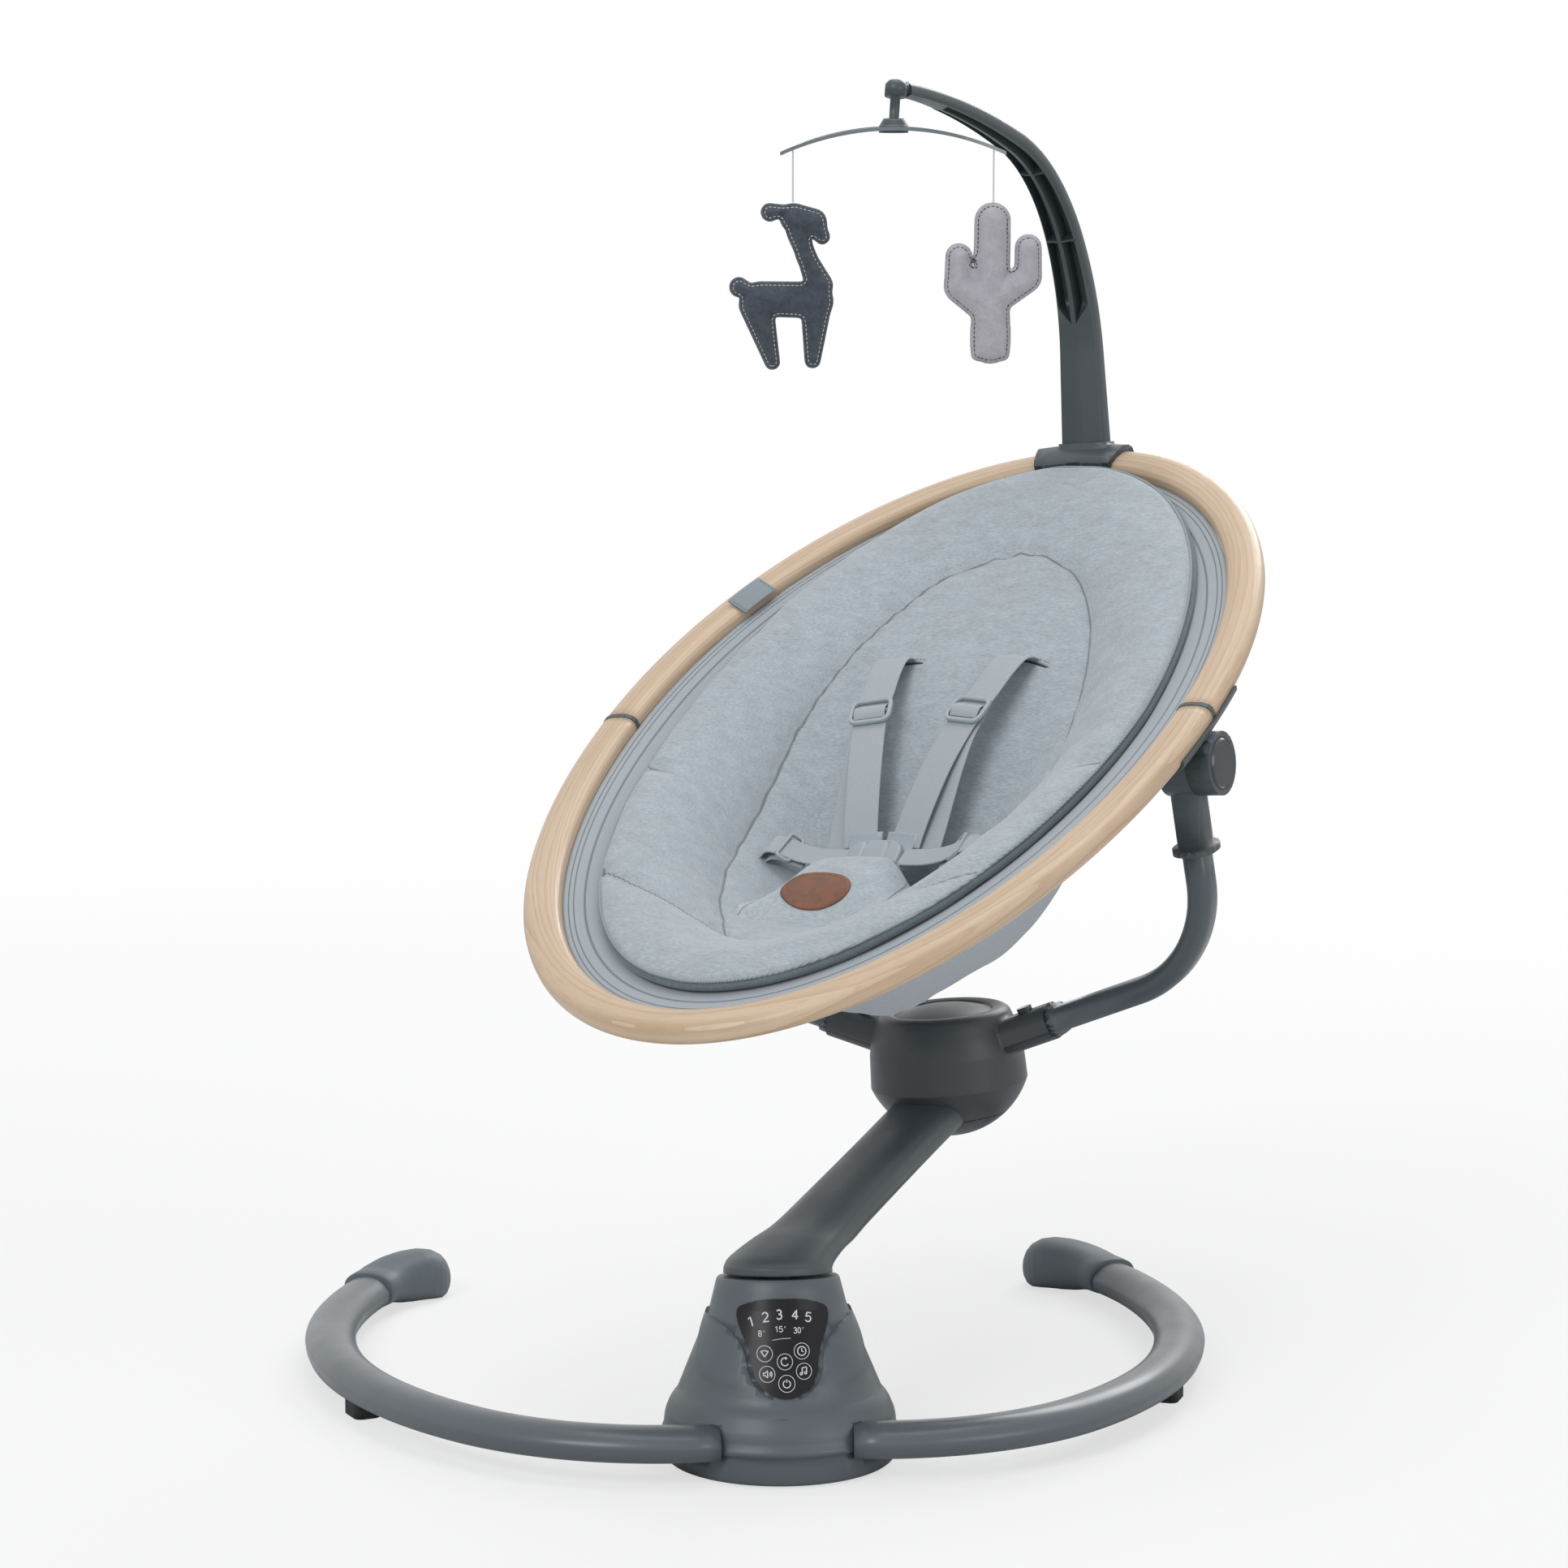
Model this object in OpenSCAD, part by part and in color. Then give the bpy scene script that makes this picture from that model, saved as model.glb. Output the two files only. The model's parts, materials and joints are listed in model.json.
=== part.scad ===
// Baby swing: a motor base on two curved legs turns a leaning arm, and a tilting oval seat
// with a toy bar rides on the arm. Millimetres, +Z up, origin on the floor below the swing axis.

/* [Base] */
// Radius of the round base
base_r = 75; // [70:0.5:80]
// Height of the seam between tray and housing
seam_z = 20; // [19:0.5:22]
// Radius of the housing's top rim
rim_r = 40; // [38:0.5:44]
// Height of the top rim along the swing axis
rim_h = 117; // [112:0.5:124]
// Lean of the swing axis towards the back, in degrees
axis_lean = 9; // [8:0.5:10]
// Wall thickness of the moulded shells
wall = 3; // [2.5:0.1:3.5]

/* [Legs] */
// Width of the leg tube
leg_w = 35; // [32:0.5:38]
// Height of the leg's domed top above its edge
leg_top = 12; // [10:0.5:13]
// Depth of the leg's flat bottom below its edge
leg_low = 9; // [8:0.5:9.5]
// Height of the leg's edge above the floor
leg_z = 25; // [24:0.5:26]
// Bend radius of the leg's front part
leg_r1 = 184; // [175:1:195]
// Bend radius of the leg's side part
leg_r2 = 313; // [300:1:325]
// Bend radius of the end cap
cap_bend = 55; // [50:1:60]

/* [Arm] */
// Half width of the arm along its straight part
arm_half_w = 26; // [24:0.5:27]
// Half thickness of the arm along its straight part
arm_half_t = 14.5; // [13:0.5:15.5]
// Gap between the housing's rim and the arm's foot
foot_gap = 2; // [1.5:0.1:3]
// Radius of the drive shaft
shaft_r = 12; // [11:0.25:13]

/* [Hub] */
// Distance of the hub behind the origin
hub_y = 272; // [266:1:278]
// Outer radius of the hub
hub_r = 54; // [52:0.5:55]
// Height of the hub's lower seam
hub_z = 189; // [187:0.5:191]
// Height of the hub's middle band
band_h = 22; // [20:0.5:24]
// Height of the hub's cap
hub_cap_h = 29; // [27:0.5:31]

/* [Seat tubes] */
// Thickness of the seat tube across its bend
tube_t = 17; // [15.5:0.25:18.5]
// Depth of the seat tube from front to back
tube_d = 21; // [19:0.5:23]
// Distance of the upright tube from the middle
tube_x = 209.5; // [208:0.5:211]
// Bend radius of the seat tube
tube_bend = 80; // [76:1:84]
// Rise of the tube as it leaves the hub, in degrees
tube_rise = 18; // [17:0.5:19]

/* [Seat ring] */
// Half width of the ring's centreline
ring_a = 221; // [220:0.5:222]
// Length of the ring's head half
ring_head = 329; // [320:1:338]
// Length of the ring's foot half
ring_foot = 361; // [350:1:370]
// Width of the ring's section
ring_w = 26; // [25:0.25:27]
// Thickness of the ring's section
ring_t = 16.8; // [16:0.1:18]
// Slope of the ring in its upright position, in degrees
ring_slope = 24.5; // [22:0.5:27]
// Radius of the recline drums
drum_r = 21.2; // [20.5:0.1:21.4]
// Radius of the recline push buttons
recline_r = 16.7; // [15.5:0.1:17.5]

/* [Soft seat] */
// Depth of the sling below the ring
sling_depth = 152; // [146:1:156]
// Depth of the cushion's seat below the ring
seat_depth = 88; // [84:1:92]
// Width of the harness webbing
strap_w = 21; // [18:0.5:24]

/* [Toy bar] */
// Width of the toy bar at its foot
arch_w = 35; // [33:0.5:37]
// Thickness of the toy bar at its foot
arch_t = 22; // [20:0.5:24]
// Half length of the mobile
mobile_half = 77; // [72:1:82]
// Length of the toy strings
string_len = 35; // [31:0.5:40]
// Diameter of the toy strings
string_d = 1.2; // [1:0.1:1.6]
// Thickness of the felt toys
toy_t = 16; // [12:0.5:20]

/* [Swing drive] */
// Tooth module of the swing drive
gear_m = 1.5; // [1.4:0.05:1.5]
// Height of the gear along the swing axis
gear_h = 48; // [46:0.5:52]

/* [Hidden] */
$fn = 48;
fit = 0.3;          // clearance round a piece that moves
run = 0.05;         // radial clearance of a shaft in its bearing
sunk = 1;           // how far one shape runs into the next inside a single piece

rest_swing = 34;    // how far the arm stands to the right of the middle, in degrees

plastic = "#4a5356";
dark = "#3c3f43";
light = "#767f84";
wood = "#cabcac";
cloth = "#a2abb1";
webbing = "#b3bac0";

// ---- shared helpers -------------------------------------------------------------------

// The swing axis, and a point turned from the arm's middle position to its rest position
axis_dir = [0, sin(axis_lean), cos(axis_lean)];
axis_side = [0, cos(axis_lean), -sin(axis_lean)];
function turned(p) = let (k = axis_dir, a = -rest_swing)
  p * cos(a) + cross(k, p) * sin(a) + k * (k * p) * (1 - cos(a));
module swung() { rotate(a = -rest_swing, v = axis_dir) children(); }
// Places children that are drawn round Z onto the swing axis, at a height along it
module on_axis(h = 0) { rotate([-axis_lean, 0, 0]) translate([0, 0, h]) children(); }

function arc_pts(c, r, a0, a1, n) =
  [for (i = [0:n]) c + r * [cos(a0 + (a1 - a0) * i / n), sin(a0 + (a1 - a0) * i / n)]];
function bent(c, e) = sign(c) * pow(abs(c), 2 / e);
// A closed ring of points round o, spanned by u and v, with half sizes a and b
function oval(o, u, v, a, b, e = 2, n = 24, f0 = 0, f1 = 360) =
  [for (i = [0:n - 1]) let (f = f0 + (f1 - f0) * i / (f1 - f0 < 360 ? n - 1 : n))
    o + u * a * bent(cos(f), e) + v * b * bent(sin(f), e)];
// A solid skinned over rings that run along u x v
module skin(rings) {
  n = len(rings[0]);
  m = len(rings);
  polyhedron(
    points = [for (r = rings) each r],
    faces = concat(
      [[for (i = [0:n - 1]) i]],
      [for (k = [0:m - 2]) for (i = [0:n - 1]) let (j = (i + 1) % n)
        each [[k * n + i, (k + 1) * n + i, (k + 1) * n + j],
              [k * n + i, (k + 1) * n + j, k * n + j]]],
      [[for (i = [n - 1:-1:0]) (m - 1) * n + i]]
    )
  );
}
// A rectangle with round corners, and a slot shape with round ends
module rounded_rect(w, h, r, n = 4) {
  polygon([for (c = [0:3]) let (x = c == 0 || c == 3 ? 1 : -1, y = c < 2 ? 1 : -1)
    each arc_pts([x * (w / 2 - r), y * (h / 2 - r)], r, 90 * c, 90 * c + 90, n)]);
}
module slot(len, w) { rounded_rect(len, w, w / 2 - 0.01, 6); }
// A bend of a flat path that starts at p with heading h: the child profile runs round it
function bend_end(p, h, r, a) = p + r * [sin(h + a) - sin(h), cos(h) - cos(h + a)];
module bend(p, h, r, a) {
  translate(p + r * [-sin(h), cos(h)]) rotate(h - 90) rotate_extrude(angle = a)
    translate([r, 0]) children();
}
module straight(p, h, l) {
  translate(p) rotate(h) rotate([90, 0, 90]) linear_extrude(l) rotate(180) mirror([0, 1])
    children();
}

// ---- base -----------------------------------------------------------------------------

floor_gap = 1;                      // the tray stands this far above the floor on its pads
shoulder_h = 97.5;                  // top of the mantle along the swing axis
cone_r0 = base_r + 12.5;            // the mantle's cone, extended down to the floor
cone_k = 0.416;
mantle_step = 2.5;                  // how far the neck and panel lie inside the mantle
function cone_at(h) = cone_r0 - cone_k * h;
edge_r = 30;                        // big round where the mantle meets the base
edge_z = seam_z + 4;

// The base's body of revolution about the floor's normal: side wall with a rounded foot
module base_turn(inset = 0) {
  rotate_extrude() polygon(concat(
    [[0, floor_gap + inset], [base_r - 4 - inset, floor_gap + inset]],
    arc_pts([base_r - 4 - inset, floor_gap + 4 + inset], 4, -60, 0, 3),
    arc_pts([base_r - edge_r, edge_z], edge_r - inset, 0, 60, 12),
    [[base_r - edge_r, edge_z + edge_r + 60], [0, edge_z + edge_r + 60]]
  ));
}
// The leaning cone of the mantle, about the swing axis
module mantle_cone(inset = 0) {
  on_axis() rotate_extrude() polygon([
    [0, -20], [cone_at(-20) - inset, -20], [cone_at(shoulder_h) - inset, shoulder_h - 1.2],
    [cone_at(shoulder_h) - 1 - inset, shoulder_h], [0, shoulder_h]
  ]);
}
// The neck, and the seat of the panel that carries on below it, about the swing axis
module neck_cone(inset = 0) {
  on_axis() rotate_extrude() polygon([
    [0, 0], [cone_at(0) - mantle_step - inset, 0],
    [cone_at(92) - mantle_step - inset, 92],
    [rim_r + 4.3 - inset, shoulder_h + 1], [rim_r - inset, rim_h - 1.5],
    [rim_r - 1.2 - inset, rim_h], [0, rim_h]
  ]);
}
module mantle_body(inset = 0) {
  intersection() { base_turn(inset); mantle_cone(inset); }
}
// The opening in the mantle's front that flows round the panel, in the plane of x and h
function mirrored(side) = concat(side, [for (i = [len(side) - 1:-1:0]) [-side[i][0], side[i][1]]]);
module bib_outline() {
  polygon(mirrored(concat(arc_pts([0, 67], 24.5, -90, 0, 8), [
    [24.9, 70], [26.2, 75], [29, 80.5], [33, 85.5], [38.5, 90], [45, 93.6], [52, 95.8],
    [60, 97], [60, 112]
  ])));
}
module panel_outline() {
  polygon(mirrored(concat(arc_pts([0, 66.3], 21.3, -90, 0, 8), [
    [22, 71], [24, 78], [27, 85], [28.9, 91], [29.5, 95.5], [29, 99], [27, 101.2],
    [22, 103.2], [15, 105], [8, 105.8]
  ])));
}
// Runs a drawing in the plane of x and h forwards, across the front of the housing
module through_front() {
  on_axis() rotate([90, 0, 0]) linear_extrude(base_r + 20) children();
}

// The leg's section: a domed top over a flatter bottom, x to the leg's left and y up
leg_dome_r = (leg_w * leg_w / 4 + leg_top * leg_top) / (2 * leg_top);
leg_dome_a = atan((leg_dome_r - leg_top) / (leg_w / 2));
leg_profile = concat(
  [[5 - leg_w / 2, -leg_low], [leg_w / 2 - 5, -leg_low], [leg_w / 2 - 1, -3]],
  arc_pts([0, leg_top - leg_dome_r], leg_dome_r, leg_dome_a, 180 - leg_dome_a, 10),
  [[1 - leg_w / 2, -3]]
);
leg_start = [60, -54];
leg_heading = -3;
leg_turn1 = 47;
leg_turn2 = 72;
leg_plug = 17;                      // straight end that plugs into the base
cap_sleeve = 16;                    // how far the cap reaches over the leg
leg_mid = bend_end(leg_start, leg_heading, leg_r1, leg_turn1);
leg_end = bend_end(leg_mid, leg_heading + leg_turn1, leg_r2, leg_turn2);
leg_end_heading = leg_heading + leg_turn1 + leg_turn2;
leg_fall = 0.0215;                  // the leg sinks this much for each millimetre it runs back
leg_back = 0.072;                   // and runs this share further back
function settled(p, z) = let (d = max(0, p[1] - leg_start[1]))
  [p[0], p[1] + leg_back * d, z - leg_fall * d];
// Places along the leg's middle line: its plan point and heading
leg_path = concat(
  [[leg_start - leg_plug * [cos(leg_heading), sin(leg_heading)], leg_heading]],
  [for (i = [0:8]) let (a = leg_turn1 * i / 8)
    [bend_end(leg_start, leg_heading, leg_r1, a), leg_heading + a]],
  [for (i = [1:12]) let (a = leg_turn2 * i / 12)
    [bend_end(leg_mid, leg_heading + leg_turn1, leg_r2, a), leg_heading + leg_turn1 + a]]
);
function leg_ring(i) = let (h = leg_path[i][1], c = settled(leg_path[i][0], leg_z))
  [for (q = leg_profile) c + [-sin(h) * q[0], cos(h) * q[0], q[1]]];
module leg_part(from, to) { skin([for (i = [from:to]) leg_ring(i)]); }
leg_last = len(leg_path) - 1;
module leg_roots() {
  leg_part(0, 3);
  mirror([1, 0, 0]) leg_part(0, 3);
}

bearing_wall = 4;
lower_bearing_h = 24;
bearing_len = 10;
pad_r = 8;
pad_ring = 56;
module at_pads() {
  children();
  for (a = [45:90:315]) rotate(a) translate([pad_ring, 0, 0]) children();
}
module at_screws() {
  for (a = [10, 170, 250, 290]) rotate(a) translate([base_r - 10.5, 0, 0]) children();
}
module at_motor(h = 0) { on_axis(h) translate([0, centre_gap, 0]) children(); }

module base_tray() {
  floor_top = floor_gap + wall;
  color(light) difference() {
    union() {
      difference() {
        intersection() {
          base_turn();
          translate([0, 0, seam_z / 2]) cube([300, 300, seam_z], center = true);
        }
        translate([0, 0, floor_top]) cylinder(r = base_r - 4 - wall, h = 100);
      }
      intersection() {
        union() {
          on_axis(-20) cylinder(r = shaft_r + bearing_wall + wall,
            h = 20 + lower_bearing_h + bearing_len);
          at_motor(-20) cylinder(r = motor_r + wall, h = 20 + motor_low + 6);
        }
        translate([0, 0, floor_top - sunk]) cylinder(r = base_r - 6, h = 60);
      }
      at_screws() translate([0, 0, floor_top - sunk]) cylinder(r = 5, h = seam_z - floor_top);
    }
    on_axis(lower_bearing_h) cylinder(r = shaft_r + bearing_wall, h = 40);
    at_motor(motor_low) cylinder(r = motor_r, h = 40);
    at_pads() cylinder(r = pad_r, h = 3);
    at_screws() cylinder(r = 2, h = 60);
    at_screws() cylinder(r = 4, h = 6);
    leg_roots();
    inlet_hole();
  }
}
module base_housing() {
  top_plate = 5;
  color(light) difference() {
    union() {
      difference() {
        mantle_body();
        through_front() bib_outline();
      }
      difference() {
        neck_cone();
        translate([0, 0, -60]) cube([400, 400, 120 + 2 * seam_z + 2], center = true);
      }
    }
    translate([0, 0, seam_z / 2 - 50]) cube([300, 300, seam_z + 100], center = true);
    intersection() {
      base_turn(wall + mantle_step);
      neck_cone_inside(top_plate);
    }
    on_axis(rim_h - 20) cylinder(r = shaft_r + bearing_wall, h = 40);
    at_motor(gear_h - 1) cylinder(r = pinion_r + gear_m + 1, h = gear_t + 4);
    leg_roots();
  }
  color(light) board_posts();
}
// The hollow of the housing, under its top plate
module neck_cone_inside(top_plate) {
  on_axis() rotate_extrude() polygon([
    [0, -20], [cone_at(-20) - mantle_step - wall, -20],
    [cone_at(92) - mantle_step - wall, 92],
    [rim_r + 1 - wall, rim_h - 12 - top_plate], [shaft_r + bearing_wall + 4, rim_h - top_plate - 8],
    [0, rim_h - top_plate - 8]
  ]);
}
module control_panel() {
  panel_t = 1.6;
  color("#1d1c21") intersection() {
    difference() {
      neck_cone(-panel_t);
      neck_cone();
    }
    through_front() panel_outline();
  }
}
// The board stands behind the panel, parallel to the housing's wall, on four posts
board_t = 1.6;
board_gap = 12;
module at_board() {
  on_axis() translate([0, mantle_step + wall + board_gap - cone_at(70), 68])
    rotate([-90 - atan(cone_k), 0, 0]) children();
}
module board_posts() {
  post_len = board_gap - 1;
  at_board() for (x = [-12, 12], y = [-15, 15])
    translate([x, y, -board_t - post_len]) cylinder(r = 2.5, h = post_len);
}
module control_board() {
  color("darkgreen") at_board() translate([0, 0, -board_t]) linear_extrude(board_t)
    rounded_rect(34, 40, 2);
}
module leg_left() { color(plastic) mirror([1, 0, 0]) leg_part(0, leg_last); }
module leg_right() { color(plastic) leg_part(0, leg_last); }

// End cap: a soft boot over the leg's end that turns inwards and comes down to the floor
cap_stations = [
  // angle past the leg's end, half width, top, bottom
  [-1, 19.5, 39.5, 13.5], [0, 19.5, 39.5, 13.5], [10, 20, 41.5, 12], [20, 20.5, 43.5, 10],
  [32, 20.8, 45, 9], [44, 20.2, 45.5, 9], [53, 18.5, 44, 9], [60, 15, 40, 9],
  [64, 10.5, 35, 12], [66, 5, 29, 17]
];
module right_cap() {
  sleeve_turn = cap_sleeve / leg_r2 * 180 / PI;
  rings = [for (s = cap_stations)
    let (h = s[0] < 0 ? leg_end_heading - sleeve_turn : leg_end_heading + s[0],
         p = s[0] < 0 ? bend_end(leg_end, leg_end_heading, leg_r2, -sleeve_turn)
           : bend_end(leg_end, leg_end_heading, cap_bend, s[0]))
    [for (q = oval(settled(p, (s[2] + s[3]) / 2), [-sin(h), cos(h), 0], [0, 0, 1],
      s[1], (s[2] - s[3]) / 2, 2.4, 20)) [q[0], q[1], max(0, q[2])]]];
  difference() {
    skin(rings);
    leg_part(leg_last - 3, leg_last);
  }
}
module leg_cap_left() { color(light) mirror([1, 0, 0]) right_cap(); }
module leg_cap_right() { color(light) right_cap(); }

foot_station = 13;                  // the place along the leg's path where its middle foot stands
module mid_feet() {
  p = settled(leg_path[foot_station][0], 0);
  color(dark) for (side = [0, 1]) mirror([side, 0, 0]) difference() {
    translate([p[0], p[1], 0]) rotate(leg_path[foot_station][1]) difference() {
      linear_extrude(leg_z - leg_low) rounded_rect(25, 18, 5);
      translate([0, 0, 5]) linear_extrude(leg_z) rounded_rect(18, 11, 3);
    }
    leg_part(foot_station - 1, foot_station + 1);
  }
}
module base_pads() {
  color("#222426") at_pads() cylinder(r = pad_r, h = 3);
}

inlet_z = 11;
inlet_r = 5;
inlet_bore = 2.75;
module inlet_hole() {
  translate([0, base_r - 14, inlet_z]) rotate([-90, 0, 0]) cylinder(r = inlet_r, h = 30);
}
module dc_inlet() {
  color("#1b1c1e") translate([0, base_r - 14, inlet_z]) rotate([-90, 0, 0]) difference() {
    cylinder(r = inlet_r, h = 13.4);
    translate([0, 0, 3.4]) cylinder(r = inlet_bore, h = 10 + sunk);
  }
}
module bearing() {
  difference() {
    cylinder(r = shaft_r + bearing_wall, h = bearing_len);
    translate([0, 0, -1]) cylinder(r = shaft_r + run, h = bearing_len + 2);
  }
}
module lower_bearing() { color("#d8d2c4") on_axis(lower_bearing_h) bearing(); }
module upper_bearing() { color("#d8d2c4") on_axis(rim_h - bearing_len) bearing(); }

gear_teeth = 48;
pinion_teeth = 12;
gear_r = gear_teeth * gear_m / 2;
pinion_r = pinion_teeth * gear_m / 2;
gear_t = 8;
centre_gap = gear_r + pinion_r;
motor_r = 12;
pinion_bore = 2.5;
pinion_phase = 270 + rest_swing * gear_teeth / pinion_teeth + 180 / pinion_teeth;
// One tooth of an involute form, with a little backlash, on a wheel of n teeth
module tooth(n) {
  r = n * gear_m / 2;
  half = 90 / n - 0.10 / r * 57.3;
  base = r * cos(20);
  tip = r + gear_m * 0.95;
  root = r - gear_m * 1.2;
  roll0 = sqrt(max(0, pow(r / base, 2) - 1)) * 57.3;
  lean0 = roll0 - atan(roll0 / 57.3);
  steps = [for (q = [max(root + 0.2, base), r - gear_m * 0.4, r, r + gear_m * 0.5, tip])
    let (roll = sqrt(max(0, pow(q / base, 2) - 1)) * 57.3,
         a = half + lean0 - (roll - atan(roll / 57.3))) [q, a]];
  polygon(concat(
    [[root - 0.5, -root * sin(half + 2)]],
    [for (s = steps) s[0] * [cos(s[1]), -sin(s[1])]],
    [for (i = [len(steps) - 1:-1:0]) steps[i][0] * [cos(steps[i][1]), sin(steps[i][1])]],
    [[root - 0.5, root * sin(half + 2)]]
  ));
}
motor_low = 14;
module drive_motor() {
  plate_h = gear_h - 3;
  color("#8a8f94") at_motor() {
    translate([0, 0, motor_low]) cylinder(r = motor_r, h = plate_h - motor_low);
    translate([0, 0, plate_h - sunk]) cylinder(r = pinion_bore - run, h = gear_t + 3 + sunk);
  }
}
module motor_pinion() {
  color("#c9b27a") at_motor(gear_h) rotate(pinion_phase)
    difference() {
      linear_extrude(gear_t) {
        circle(pinion_r - gear_m * 1.2);
        for (i = [0:pinion_teeth - 1]) rotate(i * 360 / pinion_teeth) tooth(pinion_teeth);
      }
      translate([0, 0, -1]) cylinder(r = pinion_bore, h = gear_t + 2);
    }
}
module base_screws() {
  color("#55595c") at_screws() translate([0, 0, floor_gap + 2]) {
    cylinder(r = 3.9, h = 3);
    cylinder(r = 1.9, h = seam_z - 4);
  }
}

// ---- swing arm ------------------------------------------------------------------------

foot_h = rim_h + foot_gap;
shaft_low = lower_bearing_h + 0.5;
shaft_in_arm = 9;
module drive_shaft() {
  color("#9a9fa3") swung() on_axis(shaft_low)
    cylinder(r = shaft_r, h = foot_h + shaft_in_arm - shaft_low);
}
module swing_gear() {
  tooth_span = 9;
  color("#c9b27a") swung() on_axis(gear_h) difference() {
    union() {
      cylinder(r = shaft_r + 5, h = gear_t + 4);
      linear_extrude(gear_t) {
        intersection() {
          circle(gear_r - gear_m * 1.2);
          polygon([[0, 0], [-34, 34], [-20, 60], [20, 60], [34, 34]]);
        }
        for (i = [-tooth_span:tooth_span])
          rotate(90 + i * 360 / gear_teeth) tooth(gear_teeth);
      }
    }
    translate([0, 0, -1]) cylinder(r = shaft_r, h = gear_t + 6);
  }
}

foot_c = foot_h * [axis_dir[1], axis_dir[2]];
foot_v = [axis_side[1], axis_side[2]];
foot_r = rim_r - 4.5;
arm_slope = 13.8;
arm_dir = [cos(arm_slope), sin(arm_slope)];
arm_up = [-sin(arm_slope), cos(arm_slope)];
arm_c = [101.3, 140];                 // a point on the straight part's centreline
function arm_front(d) = arm_c + arm_dir * d + arm_up * arm_half_t;
function arm_back(d) = arm_c + arm_dir * d - arm_up * arm_half_t;
arm_stations = [
  // front edge, back edge, half width, roundness
  [foot_c - foot_v * foot_r, foot_c + foot_v * foot_r, foot_r, 2],
  [[-16, 128], [54.5, 114], 35, 2], [[-10, 132.5], [57.5, 115.5], 34, 2.1],
  [[4, 135.8], [62.5, 117.3], 32.5, 2.2], [[25, 139.2], [72, 119.7], 30.5, 2.3],
  [arm_front(-45), arm_back(-20), arm_half_w + 2, 2.4],
  [arm_front(0), arm_back(0), arm_half_w + 0.7, 2.4],
  [arm_front(60), arm_back(60), arm_half_w, 2.4],
  [arm_front(105), arm_back(105), arm_half_w, 2.4],
  [arm_front(146), arm_back(146), arm_half_w + 0.5, 2.4]
];
arm_split = 37;                     // where the rear cover starts, in degrees round the section
module arm_form(f0, f1, n) {
  skin([for (s = arm_stations)
    let (c = (s[0] + s[1]) / 2, v = (s[0] - s[1]) / norm(s[0] - s[1]))
    oval([0, c[0], c[1]], [-1, 0, 0], [0, v[0], v[1]], s[2], norm(s[0] - s[1]) / 2,
      s[3], n, f0, f1)]);
}
module arm_shell() {
  color(plastic) swung() difference() {
    arm_form(-arm_split + 1.2, 180 + arm_split - 1.2, 28);
    hub_form();
    on_axis(shaft_low) cylinder(r = shaft_r, h = foot_h + shaft_in_arm - shaft_low);
  }
}
module arm_rear_cover() {
  color(plastic) swung() difference() {
    arm_form(-180 + arm_split, -arm_split, 14);
    hub_form();
  }
}

// Hub, drawn round its own upright axis
bowl_depth = 37;
bowl_r = (hub_r * hub_r + bowl_depth * bowl_depth) / (2 * bowl_depth);
seam1_z = hub_z + band_h;
cap_top = seam1_z + hub_cap_h;
lip_r = hub_r - 14.5;
dome_r = lip_r - 6;
module at_hub() { translate([0, hub_y, 0]) children(); }
module hub_form() {
  at_hub() {
    translate([0, 0, hub_z - sunk]) cylinder(r = hub_r, h = band_h);
    intersection() {
      translate([0, 0, hub_z - bowl_depth + bowl_r]) sphere(bowl_r);
      translate([0, 0, hub_z - 50]) cylinder(r = 100, h = 50);
    }
  }
}
module hub_bowl() {
  color(dark) swung() at_hub() difference() {
    intersection() {
      translate([0, 0, hub_z - bowl_depth + bowl_r]) sphere(bowl_r);
      translate([0, 0, hub_z - 50]) cylinder(r = 100, h = 50);
    }
    translate([0, 0, hub_z - 22]) cylinder(r = hub_r - 14, h = 40);
  }
}
module hub_cap_turn() {
  rotate_extrude() polygon(concat(
    [[0, seam1_z], [hub_r - 1, seam1_z], [hub_r - 2.5, seam1_z + 10]],
    arc_pts([lip_r - 1, cap_top - 9], 9, 35, 90, 6),
    [[dome_r, cap_top - 2], [dome_r, cap_top - 5], [0, cap_top - 5]]
  ));
}
// The socket for one seat tube, above or below its split line
tube_plane_lean = 7.9;
tube_base = [0, hub_y, 228];
module in_tube_plane() {
  translate(tube_base) rotate([tube_plane_lean, 0, 0]) rotate([90, 0, 0]) children();
}
tube_start_x = 52;
socket_end_x = 85;
rise_dir = [cos(tube_rise), sin(tube_rise)];
bend_start_x = tube_x - tube_bend * (1 - sin(tube_rise));
tube_w1 = 27.5;                     // height of the bend's start over the plane's origin
tube_w0 = tube_w1 - (bend_start_x - tube_start_x) * tan(tube_rise);
tube_p0 = [tube_start_x, tube_w0];
tube_run = (bend_start_x - tube_start_x) / cos(tube_rise);
tube_p1 = tube_p0 + tube_run * rise_dir;
tube_p2 = bend_end(tube_p1, tube_rise, tube_bend, 90 - tube_rise);
collar_w = 125;
sleeve_top_w = 172;
pivot_w = 185.3;
tube_top_w = collar_w + 34;
pivot_y = hub_y - pivot_w * sin(tube_plane_lean);
pivot_z = tube_base[2] + pivot_w * cos(tube_plane_lean);
module tube_profile(grow = 0) {
  rounded_rect(tube_t + 2 * grow, tube_d + 2 * grow, 6.5 + grow);
}
module tube_root(grow, x0, x1) {
  l0 = (x0 - tube_start_x) / cos(tube_rise);
  l1 = (x1 - tube_start_x) / cos(tube_rise);
  straight(tube_p0 + rise_dir * l0, tube_rise, l1 - l0) tube_profile(grow);
}
socket_wall = 3.6;
split_drop = 4;
module socket(upper) {
  intersection() {
    tube_root(socket_wall, 36, socket_end_x);
    translate(tube_p0) rotate(tube_rise)
      translate([-60, upper ? -split_drop : -split_drop - 60, -60]) cube([200, 60, 120]);
  }
}
button_x = 68;
button_l = (button_x - tube_start_x) / cos(tube_rise);
button_len = 11;
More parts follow.
